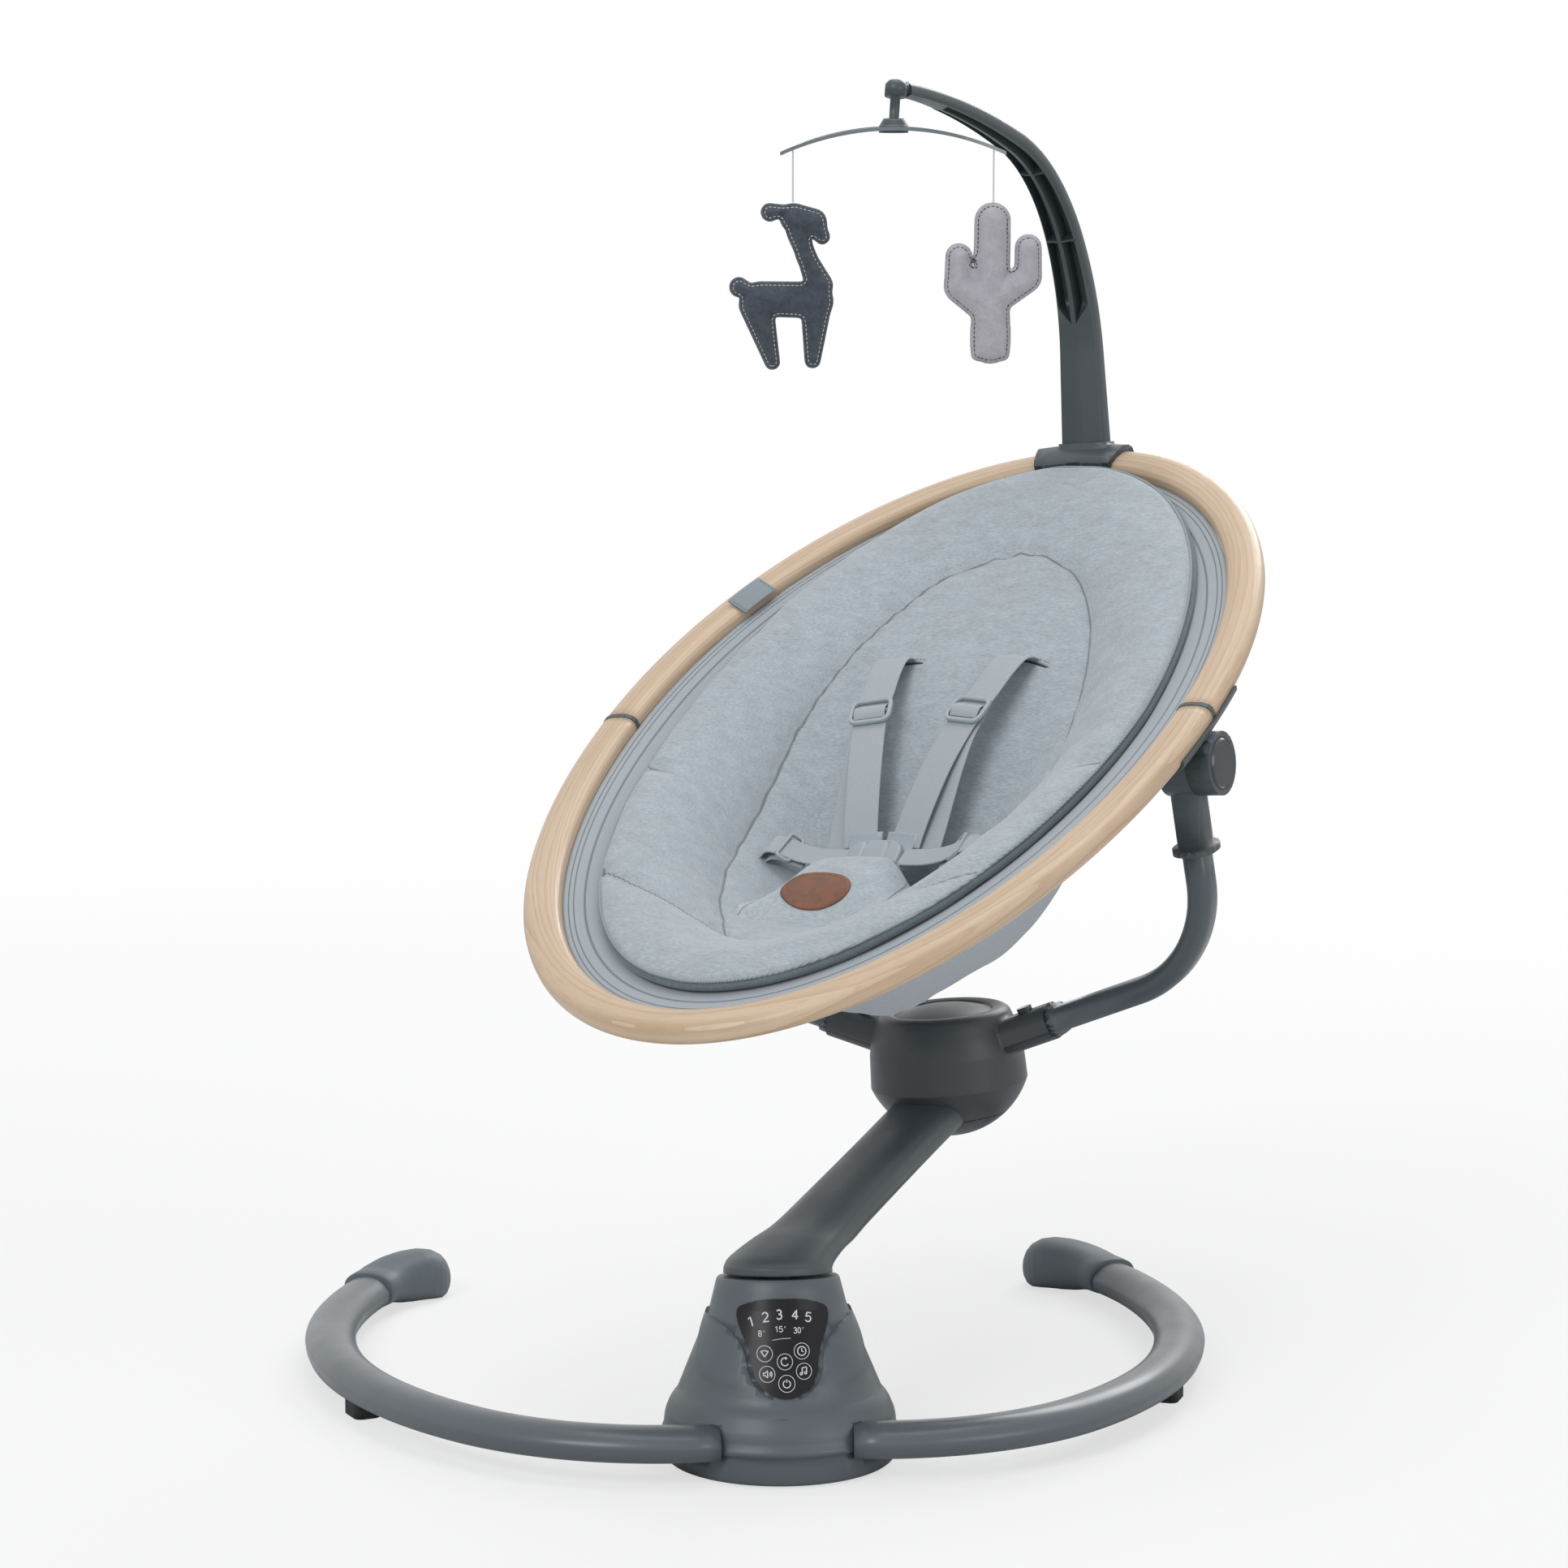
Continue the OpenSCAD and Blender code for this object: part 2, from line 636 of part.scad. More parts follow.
button_w = 7;
// Stadium-shaped post across the tube, standing on the tube's middle line
module button_post(grow, low, high) {
  translate(tube_p0 + rise_dir * button_l) rotate(tube_rise) rotate([-90, 0, 0])
    translate([0, 0, low]) linear_extrude(high - low)
      slot(button_len + 2 * grow, button_w + 2 * grow);
}
module both_sides() {
  children();
  mirror([1, 0, 0]) children();
}
module hub_band() {
  color(dark) swung() difference() {
    union() {
      at_hub() translate([0, 0, hub_z]) cylinder(r1 = hub_r, r2 = hub_r - 1, h = band_h);
      both_sides() in_tube_plane() socket(false);
    }
    at_hub() hub_cap_turn();
    at_hub() translate([0, 0, hub_z - 1]) cylinder(r = hub_r - wall - 2, h = band_h + 60);
    both_sides() in_tube_plane() tube_root(0, 30, socket_end_x + 10);
  }
}
module hub_cap() {
  color(dark) swung() difference() {
    union() {
      at_hub() hub_cap_turn();
      difference() {
        both_sides() in_tube_plane() socket(true);
        at_hub() translate([0, 0, seam1_z]) cylinder(r = hub_r - wall - 6, h = 60);
        at_hub() translate([0, 0, seam1_z - 40]) cylinder(r = hub_r, h = 40);
      }
    }
    at_hub() translate([0, 0, seam1_z - 1]) cylinder(r = hub_r - wall - 4, h = 14);
    both_sides() in_tube_plane() tube_root(0, 30, socket_end_x + 10);
    both_sides() in_tube_plane() button_post(fit, 0, 40);
  }
}
module hub_dome() {
  dome_h = 6;
  ball = (dome_r * dome_r + dome_h * dome_h) / (2 * dome_h);
  edge = dome_r - 0.2;
  top = cap_top - 3 + dome_h;
  color(plastic) swung() at_hub() rotate_extrude() polygon(concat(
    [[0, cap_top - 5], [edge, cap_top - 5]],
    arc_pts([0, top - ball], ball, acos(edge / ball), 90, 10)
  ));
}

module right_tube() {
  in_tube_plane() difference() {
    union() {
      straight(tube_p0, tube_rise, tube_run) tube_profile();
      bend(tube_p1, tube_rise, tube_bend, 90 - tube_rise) tube_profile();
      straight(tube_p2, 90, tube_top_w - tube_p2[1]) tube_profile();
      tube_root(2, socket_end_x, socket_end_x + 6);
    }
    button_post(fit, -1, 40);
  }
}
module seat_tube_left() { color(plastic) swung() mirror([1, 0, 0]) right_tube(); }
module seat_tube_right() { color(plastic) swung() right_tube(); }

// Pivot housing: sleeve over the tube's end, its collar, and the drum on the arm's side
drum_half = 10.5;
pin_r = 7;
module at_pivot(x) {
  translate([x, pivot_y, pivot_z]) rotate([0, 90, 0]) children();
}
module right_pivot() {
  difference() {
    union() {
      in_tube_plane() {
        straight([tube_x, collar_w], 90, sleeve_top_w - collar_w) tube_profile(2);
        straight([tube_x, collar_w], 90, 4.5) tube_profile(6);
      }
      at_pivot(tube_x - drum_half) cylinder(r = drum_r, h = 2 * drum_half);
    }
    in_tube_plane() straight([tube_x, collar_w - 5], 90, tube_top_w - collar_w + 5)
      tube_profile();
    at_pivot(tube_x - 30) cylinder(r = pin_r + run, h = 60);
  }
}
module pivot_housing_left() { color(plastic) swung() mirror([1, 0, 0]) right_pivot(); }
module pivot_housing_right() { color(plastic) swung() right_pivot(); }

// Snap button: its head stands out of the hub's socket and its post slides in the tube
snap_out = 3.5;
module right_snap() {
  in_tube_plane() button_post(0, 3.5, tube_t / 2 + socket_wall + snap_out);
}
module snap_button_left() { color("#202225") swung() mirror([1, 0, 0]) right_snap(); }
module snap_button_right() { color("#202225") swung() right_snap(); }

seat_drum_x = tube_x + drum_half + fit;
seat_drum_out = ring_a + ring_w / 2 + 3;
button_pocket = 6;
module recline_head() {
  at_pivot(seat_drum_out - button_pocket + 3.2) {
    cylinder(r = recline_r, h = button_pocket - 3.2);
    translate([0, 0, button_pocket - 3.2]) cylinder(r1 = recline_r, r2 = recline_r - 1.2, h = 1.2);
  }
}
module recline_button_left() { color(dark) swung() mirror([1, 0, 0]) recline_head(); }
module recline_button_right() { color(dark) swung() recline_head(); }

// ---- seat -----------------------------------------------------------------------------

ring_y = 246;
ring_z = 444;
ring_shift = 9.7;                   // the ring's widest line lies this far above the pivot line
// The seat's own frame: x across, y up the slope, z out of the ring's plane
module in_seat() {
  swung() translate([0, ring_y, ring_z]) rotate([ring_slope, 0, 0]) children();
}
// The ring's section at an angle round its oval, and a stretch of the ring between two angles
function ring_len(f) = sin(f) > 0 ? ring_head : ring_foot;
function ring_point(f) = [ring_a * cos(f), ring_shift + ring_len(f) * sin(f), 0];
function ring_out(f) = let (d = [ring_len(f) * cos(f), ring_a * sin(f), 0]) d / norm(d);
function ring_section(f, grow) = oval(ring_point(f), [0, 0, 1], ring_out(f),
  ring_t / 2 + grow, ring_w / 2 + grow, 2.7, 16);
module ring_stretch(f0, f1, n, grow = 0) {
  skin([for (i = [0:n]) ring_section(f0 + (f1 - f0) * i / n, grow)]);
}
// Angle round the oval of a point that lies this far up the slope, on the right side
function angle_at(t) = asin((t - ring_shift) / (t > ring_shift ? ring_head : ring_foot));
band_half = 1.8;
module ring_upper() {
  f = angle_at(band_half);
  color(wood) in_seat() ring_stretch(f, 180 - f, 44);
}
module ring_lower() {
  f = angle_at(-band_half);
  color(wood) in_seat() ring_stretch(180 - f, 360 + f, 44);
}
module ring_bands() {
  f0 = angle_at(-band_half);
  f1 = angle_at(band_half);
  color(plastic) in_seat() both_sides() ring_stretch(f0, f1, 1, 0.5);
}

// Seat bracket: a trough that hugs the ring from below, a web, and the drum on the seat's side
wing_half = 46;
wing_t = 2.4;
pin_in = 20;
module right_bracket() {
  difference() {
    union() {
      in_seat() intersection() {
        ring_stretch(angle_at(-wing_half - 8), angle_at(wing_half - 8), 8, wing_t);
        translate([seat_drum_x - 7, -wing_half - 8, -40]) cube([60, 2 * wing_half, 38]);
      }
      swung() at_pivot(seat_drum_x) cylinder(r = drum_r, h = seat_drum_out - seat_drum_x);
      swung() hull() {
        at_pivot(seat_drum_x) cylinder(r = drum_r - 0.5, h = seat_drum_out - seat_drum_x - 3);
        at_pivot(seat_drum_x) translate([-14, -18, 0]) cube([2, 44, seat_drum_out - seat_drum_x - 5]);
      }
    }
    in_seat() ring_stretch(angle_at(-wing_half - 20), angle_at(wing_half + 4), 8, 0.6);
    swung() at_pivot(tube_x - 20) cylinder(r = drum_r + fit, h = 20 + drum_half + fit);
    in_seat() translate([0, -200, ring_t / 2 - 4]) cube([400, 400, 60]);
    swung() at_pivot(seat_drum_out - button_pocket) cylinder(r = recline_r + fit, h = 20);
  }
  swung() at_pivot(seat_drum_x - pin_in) cylinder(r = pin_r, h = pin_in + 4);
}
module seat_bracket_left() { color(plastic) mirror_seat() right_bracket(); }
module seat_bracket_right() { color(plastic) right_bracket(); }
// Mirrors a seat piece from the right side of the turned seat to its left side
module mirror_seat() {
  swung() mirror([1, 0, 0]) rotate(a = rest_swing, v = axis_dir) children();
}

// Soft seat. Every ring of points follows the wooden ring's oval at a share of its size
deep_t = -88;                       // the deepest point of the seat, along the slope
soft_n = 44;
soft_in = [37, 41, 14];             // how far the cushion stays inside the ring's centreline
soft_steps = [
  // share of the outline, height of the cushion's top as a share of the seat's depth at the
  // foot, the sides and the head, then the sling's depth as a share of its own, the same way
  [0.06, 0.015, 0.005, 0.12, 0.995, 0.998, 0.995], [0.16, 0.1, 0.03, 0.37, 0.958, 0.99, 0.968],
  [0.27, 0.27, 0.08, 0.63, 0.865, 0.965, 0.884], [0.4, 0.49, 0.21, 0.82, 0.69, 0.9, 0.711],
  [0.53, 0.68, 0.45, 0.91, 0.473, 0.765, 0.484], [0.66, 0.86, 0.7, 0.98, 0.259, 0.562, 0.251],
  [0.78, 1, 0.87, 1.05, 0.11, 0.341, 0.092], [0.88, 1.08, 0.96, 1.11, 0.035, 0.171, 0.022],
  [0.96, 1.1, 1, 1.14, 0.008, 0.072, 0.004]
];
soft_edge = [1, 1.04, 0.94, 1.06];
// A number for the foot, the sides and the head, blended by the angle round the oval
function blend(f, row, from) = let (w = abs(sin(f)))
  row[from + 1] * (1 - w) + row[sin(f) > 0 ? from + 2 : from] * w;
function soft_ring(insets, share, heights) = [for (i = [0:soft_n - 1])
  let (f = 360 * i / soft_n, e = sin(f) > 0 ? insets[2] : insets[0])
  [(ring_a - insets[1]) * share * cos(f),
   ring_shift + (ring_len(f) - e) * share * sin(f) + (deep_t - ring_shift) * (1 - share),
   heights[i]]];
sling_edge = -5;                    // height of the sling's lower edge at the wooden ring
sling_t = 3.5;                      // upright thickness of the sling
sling_in = ring_w / 2 + 0.4;
soft_gap = 1.2;
cushion_t = 45;
function sling_heights(s, up) = [for (i = [0:soft_n - 1])
  sling_edge + up - sling_depth * blend(360 * i / soft_n, s, 4)];
function top_heights(s) = [for (i = [0:soft_n - 1])
  seat_depth * (blend(360 * i / soft_n, s, 1) - 1)];
function low_heights(s) = let (a = sling_heights(s, sling_t + soft_gap), b = top_heights(s))
  [for (i = [0:soft_n - 1]) max(a[i], b[i] - cushion_t)];
function flat_heights(g) = [for (i = [0:soft_n - 1]) g];
module seat_sling() {
  rim = [sling_in, sling_in, sling_in];
  outer = [for (s = soft_steps) soft_ring(soft_in, s[0], sling_heights(s, 0))];
  inner = [for (i = [len(soft_steps) - 1:-1:0]) let (s = soft_steps[i])
    soft_ring(soft_in, s[0], sling_heights(s, sling_t))];
  color(cloth) in_seat() skin(concat(
    outer,
    [soft_ring(rim, 1, flat_heights(sling_edge))],
    [soft_ring(rim, 1, flat_heights(sling_edge + sling_t))],
    inner
  ));
}
module seat_insert() {
  low = [for (s = soft_steps) soft_ring(soft_in, s[0], low_heights(s))];
  top = [for (i = [len(soft_steps) - 1:-1:0]) let (s = soft_steps[i])
    soft_ring(soft_in, s[0], top_heights(s))];
  color(cloth) in_seat()
    skin(concat(low, [soft_ring(soft_in, 1, top_heights(soft_edge))], top));
}

// A flat band of webbing through points of the seat's frame
module webbing_band(path, w, t, side) {
  skin([for (i = [0:len(path) - 1])
    let (a = path[max(i - 1, 0)], b = path[min(i + 1, len(path) - 1)],
         d = (b - a) / norm(b - a), u0 = side - d * (side * d), u = u0 / norm(u0),
         v = cross(d, u))
    [path[i] + u * w / 2 + v * t / 2, path[i] - u * w / 2 + v * t / 2,
     path[i] - u * w / 2 - v * t / 2, path[i] + u * w / 2 - v * t / 2]]);
}
strap_t = 1.8;
shoulder_path = [[48, 97, -12.8], [46, 80, -8], [42, 50, -9], [37, 25, -13], [30, -8, -22],
  [23, -38, -37], [18, -60, -50], [17, -67, -55]];
module right_shoulder() { webbing_band(shoulder_path, strap_w, strap_t, [1, 0.25, 0]); }
module shoulder_strap_left() { color(webbing) in_seat() mirror([1, 0, 0]) right_shoulder(); }
module shoulder_strap_right() { color(webbing) in_seat() right_shoulder(); }
waist_path = [[20.4, -82, -58], [38, -82, -60], [56, -80, -60], [72, -78, -54.8]];
module waist_straps() {
  color(webbing) in_seat() both_sides()
    webbing_band(waist_path, strap_w - 2, strap_t, [0, 1, 0.15]);
}
module strap_sliders() {
  slider_w = strap_w + 5;
  color("#b0b6ba") in_seat() both_sides()
    translate([37.4, 27, -10.5]) rotate([10, 0, -11.7]) difference() {
      linear_extrude(3) rounded_rect(slider_w, 20, 4);
      for (y = [-5.6, 5.6]) translate([-strap_w / 2 - 0.5, y - 2, -1]) cube([strap_w + 1, 4, 6]);
    }
}
module harness_buckle() {
  color("#afb8bd") in_seat() translate([0, -82, -62]) rotate([14, 0, 0])
    linear_extrude(9) rounded_rect(40, 30, 7);
}
pad_path = [[-101, -61.7], [-115, -55.5], [-138, -48.5], [-162, -43.3], [-186, -32.3], [-206, -20.8],
  [-222, -11.4]];
pad_half = [30, 32, 33, 33, 34, 36, 34];
pad_t = 10;
module crotch_pad() {
  color(cloth) in_seat() skin([for (i = [0:len(pad_path) - 1])
    let (a = pad_path[max(i - 1, 0)], b = pad_path[min(i + 1, len(pad_path) - 1)],
         d = (b - a) / norm(b - a))
    oval([0, pad_path[i][0], pad_path[i][1]], [1, 0, 0], [0, d[1], -d[0]],
      pad_half[i], pad_t / 2, 3, 20)]);
}
module leather_patch() {
  color("#6f513c") in_seat() translate([0, -160.5, -36.8]) rotate([-18, 0, 0])
    linear_extrude(1.6) {
      square([21, 24], center = true);
      for (x = [-10.5, 10.5]) translate([x, 0]) circle(12);
    }
}
// The tag is sewn on inside the ring's head half and lies along it
module label_tag() {
  f = 180 - angle_at(157);
  along_ring = atan2(ring_head * abs(cos(f)), ring_a * sin(f));
  color("#8d979d") in_seat() translate(ring_point(f) + [9.6, 0, 7.7])
    rotate([25, 0, along_ring]) translate([-17, -9, 0]) cube([34, 18, 1.4]);
}

// ---- toy bar --------------------------------------------------------------------------

post_out = 8.796;                   // the post stands this far beyond the ring's head line
post_y = ring_y + (ring_shift + ring_head) * cos(ring_slope) + post_out;
saddle_half = 33;
saddle_t = 4.5;
collar_rise = 15.543;
collar_top = ring_z + (ring_shift + ring_head) * sin(ring_slope) + collar_rise;
seat_slack = 0.05;                  // the bar's foot stands this far over its collar
post_lean = 4;
module at_post() { translate([0, post_y, collar_top]) rotate([-post_lean, 0, 0]) children(); }
tongue_in = 5.2;
saddle_turn = saddle_half / ring_a * 180 / PI;
module toybar_socket() {
  color(plastic) difference() {
    union() {
      in_seat() ring_stretch(90 - saddle_turn, 90 + saddle_turn, 6, saddle_t);
      swung() at_post() translate([0, 0, -17]) linear_extrude(17 - seat_slack)
        rounded_rect(arch_w + 3, arch_t + 3, 7);
    }
    in_seat() ring_stretch(90 - 2 * saddle_turn, 90 + 2 * saddle_turn, 12, fit);
    in_seat() translate([0, 0, -40]) linear_extrude(80)
      polygon([for (q = soft_ring((sling_in - fit) * [1, 1, 1], 1, flat_heights(0)))
        [q[0], q[1]]]);
    swung() at_post() translate([0, 0, -tongue_in - 0.8]) linear_extrude(60)
      rounded_rect(arch_w - 8 + 2 * fit, arch_t - 7 + 2 * fit, 4);
  }
}

// Centreline of the toy bar in the plane of y and z: one straight and three bends
arch_runs = [
  // length, bend radius (0 is straight)
  [65, 0], [88, 190], [104, 132], [158, 660]
];
function run_turn(r) = r[1] == 0 ? 0 : r[0] / r[1] * 180 / PI;
function along(s, i = 0, p = [post_y, collar_top], h = 90 - post_lean) =
  let (r = arch_runs[i], l = min(s, r[0]), a = r[1] == 0 ? 0 : l / r[1] * 180 / PI,
       q = r[1] == 0 ? p + l * [cos(h), sin(h)] : bend_end(p, h, r[1], a))
  s <= r[0] || i == len(arch_runs) - 1 ? [q, h + a] : along(s - r[0], i + 1, q, h + run_turn(r));
arch_len = arch_runs[0][0] + arch_runs[1][0] + arch_runs[2][0] + arch_runs[3][0];
function arch_half_w(s) = (arch_w * (1 - s / arch_len) + 11.5 * s / arch_len) / 2;
function arch_half_t(s) = (arch_t * (1 - s / arch_len) + 10 * s / arch_len) / 2;
// A cross-section of the bar from side a to side b and from depth c to depth d, as shares
function arch_box(s, a, b, c, d) =
  let (q = along(s), h = q[1], o = [0, q[0][0], q[0][1]], u = [1, 0, 0],
       v = [0, -sin(h), cos(h)], w = arch_half_w(s), t = arch_half_t(s))
  [for (k = [[a, c], [b, c], [b, d], [a, d]]) o + u * w * k[0] + v * t * k[1]];
module channel(s0, s1, side, tip) {
  steps = 5;
  rings = [for (i = [0:steps]) let (s = s0 + (s1 - s0) * i / steps,
      open = tip && i == 0 ? 0.06 : 1)
    side > 0
      ? arch_box(s, 0.12, 0.12 + 0.70 * open, 1.4, 1 - 1.45 * open)
      : arch_box(s, -0.12 - 0.70 * open, -0.12, 1.4, 1 - 1.45 * open)];
  skin(rings);
}
channel_marks = [88, 152, 218, 362];
module toybar_arch() {
  color(plastic) swung() {
    difference() {
      skin([for (i = [0:22]) let (s = arch_len * i / 22, q = along(s), h = q[1])
        oval([0, q[0][0], q[0][1]], [-1, 0, 0], [0, -sin(h), cos(h)],
          arch_half_w(s), arch_half_t(s), 3.2, 20)]);
      for (side = [-1, 1]) {
        channel(channel_marks[0], channel_marks[1] - 1, side, true);
        channel(channel_marks[1] + 1, channel_marks[2] - 1, side, false);
        channel(channel_marks[2] + 1, channel_marks[3], side, false);
      }
    }
    at_post() translate([0, 0, -tongue_in]) linear_extrude(tongue_in + 2)
      rounded_rect(arch_w - 8, arch_t - 7, 4);
  }
}
arch_tip = along(arch_len);
tip_c = arch_tip[0] + 12 * [cos(arch_tip[1]), sin(arch_tip[1])];
pin_lean = -18;
pin_drop = 25;
cup_r = 7.5;
module at_tip() { translate([0, tip_c[0], tip_c[1]]) rotate([pin_lean, 0, 0]) children(); }
module toybar_pin() {
  color(plastic) swung() at_tip() {
    translate([0, 0, -5.5]) cylinder(r = cup_r, h = 8);
    translate([0, 0, 2.5]) cylinder(r1 = cup_r, r2 = cup_r - 2, h = 2.5);
    translate([0, 0, -pin_drop]) cylinder(r = 3.4, h = pin_drop);
    translate([0, 0, -pin_drop]) sphere(4.2);
    rotate([-pin_lean, 0, 0]) translate([-4.5, 2, -4]) cube([9, 9.2, 8]);
  }
}

// ---- mobile ---------------------------------------------------------------------------

ball_c = turned([0, tip_c[0] + pin_drop * sin(pin_lean), tip_c[1] - pin_drop * cos(pin_lean)]);
module at_mobile() { translate(ball_c) children(); }
module mobile_hub() {
  color(plastic) at_mobile() difference() {
    union() {
      translate([0, 0, -5.6]) cylinder(r = 10, h = 4.6);
      translate([0, 0, -1.2]) cylinder(r1 = 10, r2 = 6.8, h = 5.2);
    }
    sphere(4.2 + fit);
    translate([0, 0, 1]) cylinder(r1 = 4.4, r2 = 6.2, h = 4);
  }
}
bar_drop = 17;
rail_low = 2.6;                     // how far the rails' middle lies below the ball
rail_t = 2.4;
bar_r = (mobile_half * mobile_half + bar_drop * bar_drop) / (2 * bar_drop);
bar_half_w = 11;
string_x = 68.4;
// Outline of the mobile seen from above: two bowed rails that meet in points
module mobile_outline(inset) {
  lens = (mobile_half * mobile_half + bar_half_w * bar_half_w) / (2 * bar_half_w);
  turn = asin(mobile_half / lens) * (1 - inset / bar_half_w);
  polygon(concat(
    arc_pts([0, bar_half_w - lens], lens - inset, 90 + turn, 90 - turn, 16),
    arc_pts([0, lens - bar_half_w], lens - inset, -90 + turn, -90 - turn, 16)
  ));
}
module bowed_sheet() {
  rotate([90, 0, 0]) translate([0, -bar_r - rail_low, -30]) difference() {
    cylinder(r = bar_r + rail_t / 2, h = 60, $fn = 96);
    translate([0, 0, -1]) cylinder(r = bar_r - rail_t / 2, h = 62, $fn = 96);
  }
}
module mobile_bar() {
  color("#7d868b") at_mobile() difference() {
    intersection() {
      bowed_sheet();
      translate([0, 0, -40]) linear_extrude(60) difference() {
        mobile_outline(0);
        difference() {
          mobile_outline(2.2);
          circle(10.5);
          for (x = [-1, 1]) translate([x * mobile_half, 0]) square([28, 30], center = true);
        }
      }
    }
    translate([0, 0, -20]) cylinder(r = 10, h = 40);
  }
}
string_gap = 0.35;
string_top = sqrt(bar_r * bar_r - string_x * string_x) - bar_r - rail_low - rail_t / 2 - string_gap;
// The strings' route points, from the bar down to the toys
left_route = [for (k = [0:3]) ball_c + [-string_x, 0, string_top - k * string_len / 3]];
right_route = [for (p = left_route) p + [2 * string_x, 0, 0]];
module string_tube(route) {
  rings = [for (i = [0:12]) let (k = min(2, floor(i / 4)), f = (i - k * 4) / 4,
      p = route[k] * (1 - f) + route[k + 1] * f)
    oval(p, [0, 1, 0], [1, 0, 0], string_d / 2, string_d / 2, 2, 8)];
  skin(rings);
}
module string_left() { color("#e8ecec") string_tube(left_route); }
module string_right() { color("#e8ecec") string_tube(right_route); }

// Felt toys, drawn from the loop down in the plane of x and z
module felt(at) {
  translate(at) rotate([90, 0, 0]) translate([0, 0, -toy_t / 2]) linear_extrude(toy_t) children();
}
module limb(a, b, ra, rb) {
  hull() {
    translate(a) circle(ra, $fn = 32);
    translate(b) circle(rb, $fn = 32);
  }
}
module llama_toy() {
  color("#484f59") felt(left_route[3]) {
    limb([1, -10.3], [14, -13], 10, 9);
    limb([14, -14], [20, -23], 8.5, 5.5);
    limb([-15.5, -6.5], [-4, -5], 6.5, 3.5);
    limb([5, -20], [18, -52], 7, 9);
    limb([-22, -67], [14, -67], 12, 13);
    limb([16, -68], [12.5, -107], 11.5, 6.3);
    limb([-26, -69], [-14, -108], 11, 5.8);
    limb([-36.5, -57], [-26, -60], 7, 6);
  }
}
module cactus_toy() {
  color("#b4b3ba") felt(right_route[3]) {
    limb([-0.5, -12.7], [-1.5, -94], 12.5, 12.8);
    translate([-1.6, -90]) square([26, 36], center = true);
    limb([-23.5, -37], [-23.5, -56], 9.3, 10);
    limb([-22, -58], [-4, -72], 11, 11.5);
    limb([24, -31], [24, -50], 9.3, 9.5);
    limb([22, -52], [4, -64], 10.5, 11);
  }
}

// ---- output ---------------------------------------------------------------------------

base_tray();
base_housing();
control_panel();
control_board();
leg_left();
leg_right();
leg_cap_left();
leg_cap_right();
mid_feet();
base_pads();
dc_inlet();
lower_bearing();
upper_bearing();
drive_motor();
motor_pinion();
base_screws();
drive_shaft();
swing_gear();
arm_shell();
arm_rear_cover();
hub_bowl();
hub_band();
hub_cap();
hub_dome();
seat_tube_left();
seat_tube_right();
pivot_housing_left();
pivot_housing_right();
snap_button_left();
snap_button_right();
recline_button_left();
recline_button_right();
ring_upper();
ring_lower();
ring_bands();
seat_bracket_left();
seat_bracket_right();
seat_sling();
seat_insert();
shoulder_strap_left();
shoulder_strap_right();
waist_straps();
strap_sliders();
harness_buckle();
crotch_pad();
leather_patch();
label_tag();
toybar_socket();
toybar_arch();
toybar_pin();
mobile_hub();
mobile_bar();
string_left();
string_right();
llama_toy();
cactus_toy();
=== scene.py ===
# %% [markdown]
# A powered baby swing: a round motor base on two curved legs, a leaning arm, a hub with two
# tubes, and an oval wooden ring that carries a padded seat, a harness and a hanging mobile.
# The rigid parts come from the CAD frame and get finishes here. The soft parts, the bent
# tubes and the printed panel are modelled again, because a faceted solid can't show cloth.

# %% Open the frame
import json
import math
import bmesh
import bpy
import numpy as np
from mathutils import Matrix, Vector, noise
from mathutils.bvhtree import BVHTree


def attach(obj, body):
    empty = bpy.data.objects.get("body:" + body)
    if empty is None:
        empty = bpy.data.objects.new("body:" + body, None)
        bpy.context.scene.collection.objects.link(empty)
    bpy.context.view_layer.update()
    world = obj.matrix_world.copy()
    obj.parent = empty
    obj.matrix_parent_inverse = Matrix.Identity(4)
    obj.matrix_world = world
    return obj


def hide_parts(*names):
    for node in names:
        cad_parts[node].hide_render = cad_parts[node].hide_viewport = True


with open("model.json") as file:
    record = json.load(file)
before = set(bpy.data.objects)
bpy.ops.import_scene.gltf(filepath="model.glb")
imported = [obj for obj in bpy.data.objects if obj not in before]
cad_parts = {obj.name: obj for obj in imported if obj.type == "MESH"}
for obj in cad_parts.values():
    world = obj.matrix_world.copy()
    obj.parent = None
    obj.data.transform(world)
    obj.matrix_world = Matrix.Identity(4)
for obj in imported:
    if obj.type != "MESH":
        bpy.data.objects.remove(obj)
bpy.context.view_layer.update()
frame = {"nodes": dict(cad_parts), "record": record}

# %% [markdown]
# The camera comes first, so that every later choice can be seen. It stands low and far away
# with a long lens, a little to the left, as a catalogue view of nursery furniture does.

# %% Camera
def add_camera(azimuth, pitch, distance, aim, lens):
    a, e = math.radians(azimuth), math.radians(pitch)
    back = Vector((math.sin(a) * math.cos(e), -math.cos(a) * math.cos(e), math.sin(e)))
    right = Vector((math.cos(a), math.sin(a), 0))
    data = bpy.data.cameras.new("camera")
    data.lens, data.sensor_width = lens, 36
    camera = bpy.data.objects.new("camera", data)
    camera.matrix_world = Matrix.Translation(right * aim[0] + Vector((0, 0, aim[1])) + back * distance) \
        @ Matrix((right, back.cross(right), back)).transposed().to_4x4()
    bpy.context.scene.collection.objects.link(camera)
    bpy.context.scene.camera = camera
    return camera

camera = add_camera(-4.2, 8.9, 3.2, (0.0026, 0.44), 36 * 6224 / 1932)
print("camera at", [round(x, 3) for x in camera.location])

# %% [markdown]
# Most finishes share one recipe: a colour that drifts slightly with a large soft noise, a
# roughness that varies with a finer one, and a bump that gives the surface its grain. The
# helpers below hold that recipe, and each material adds what is its own.

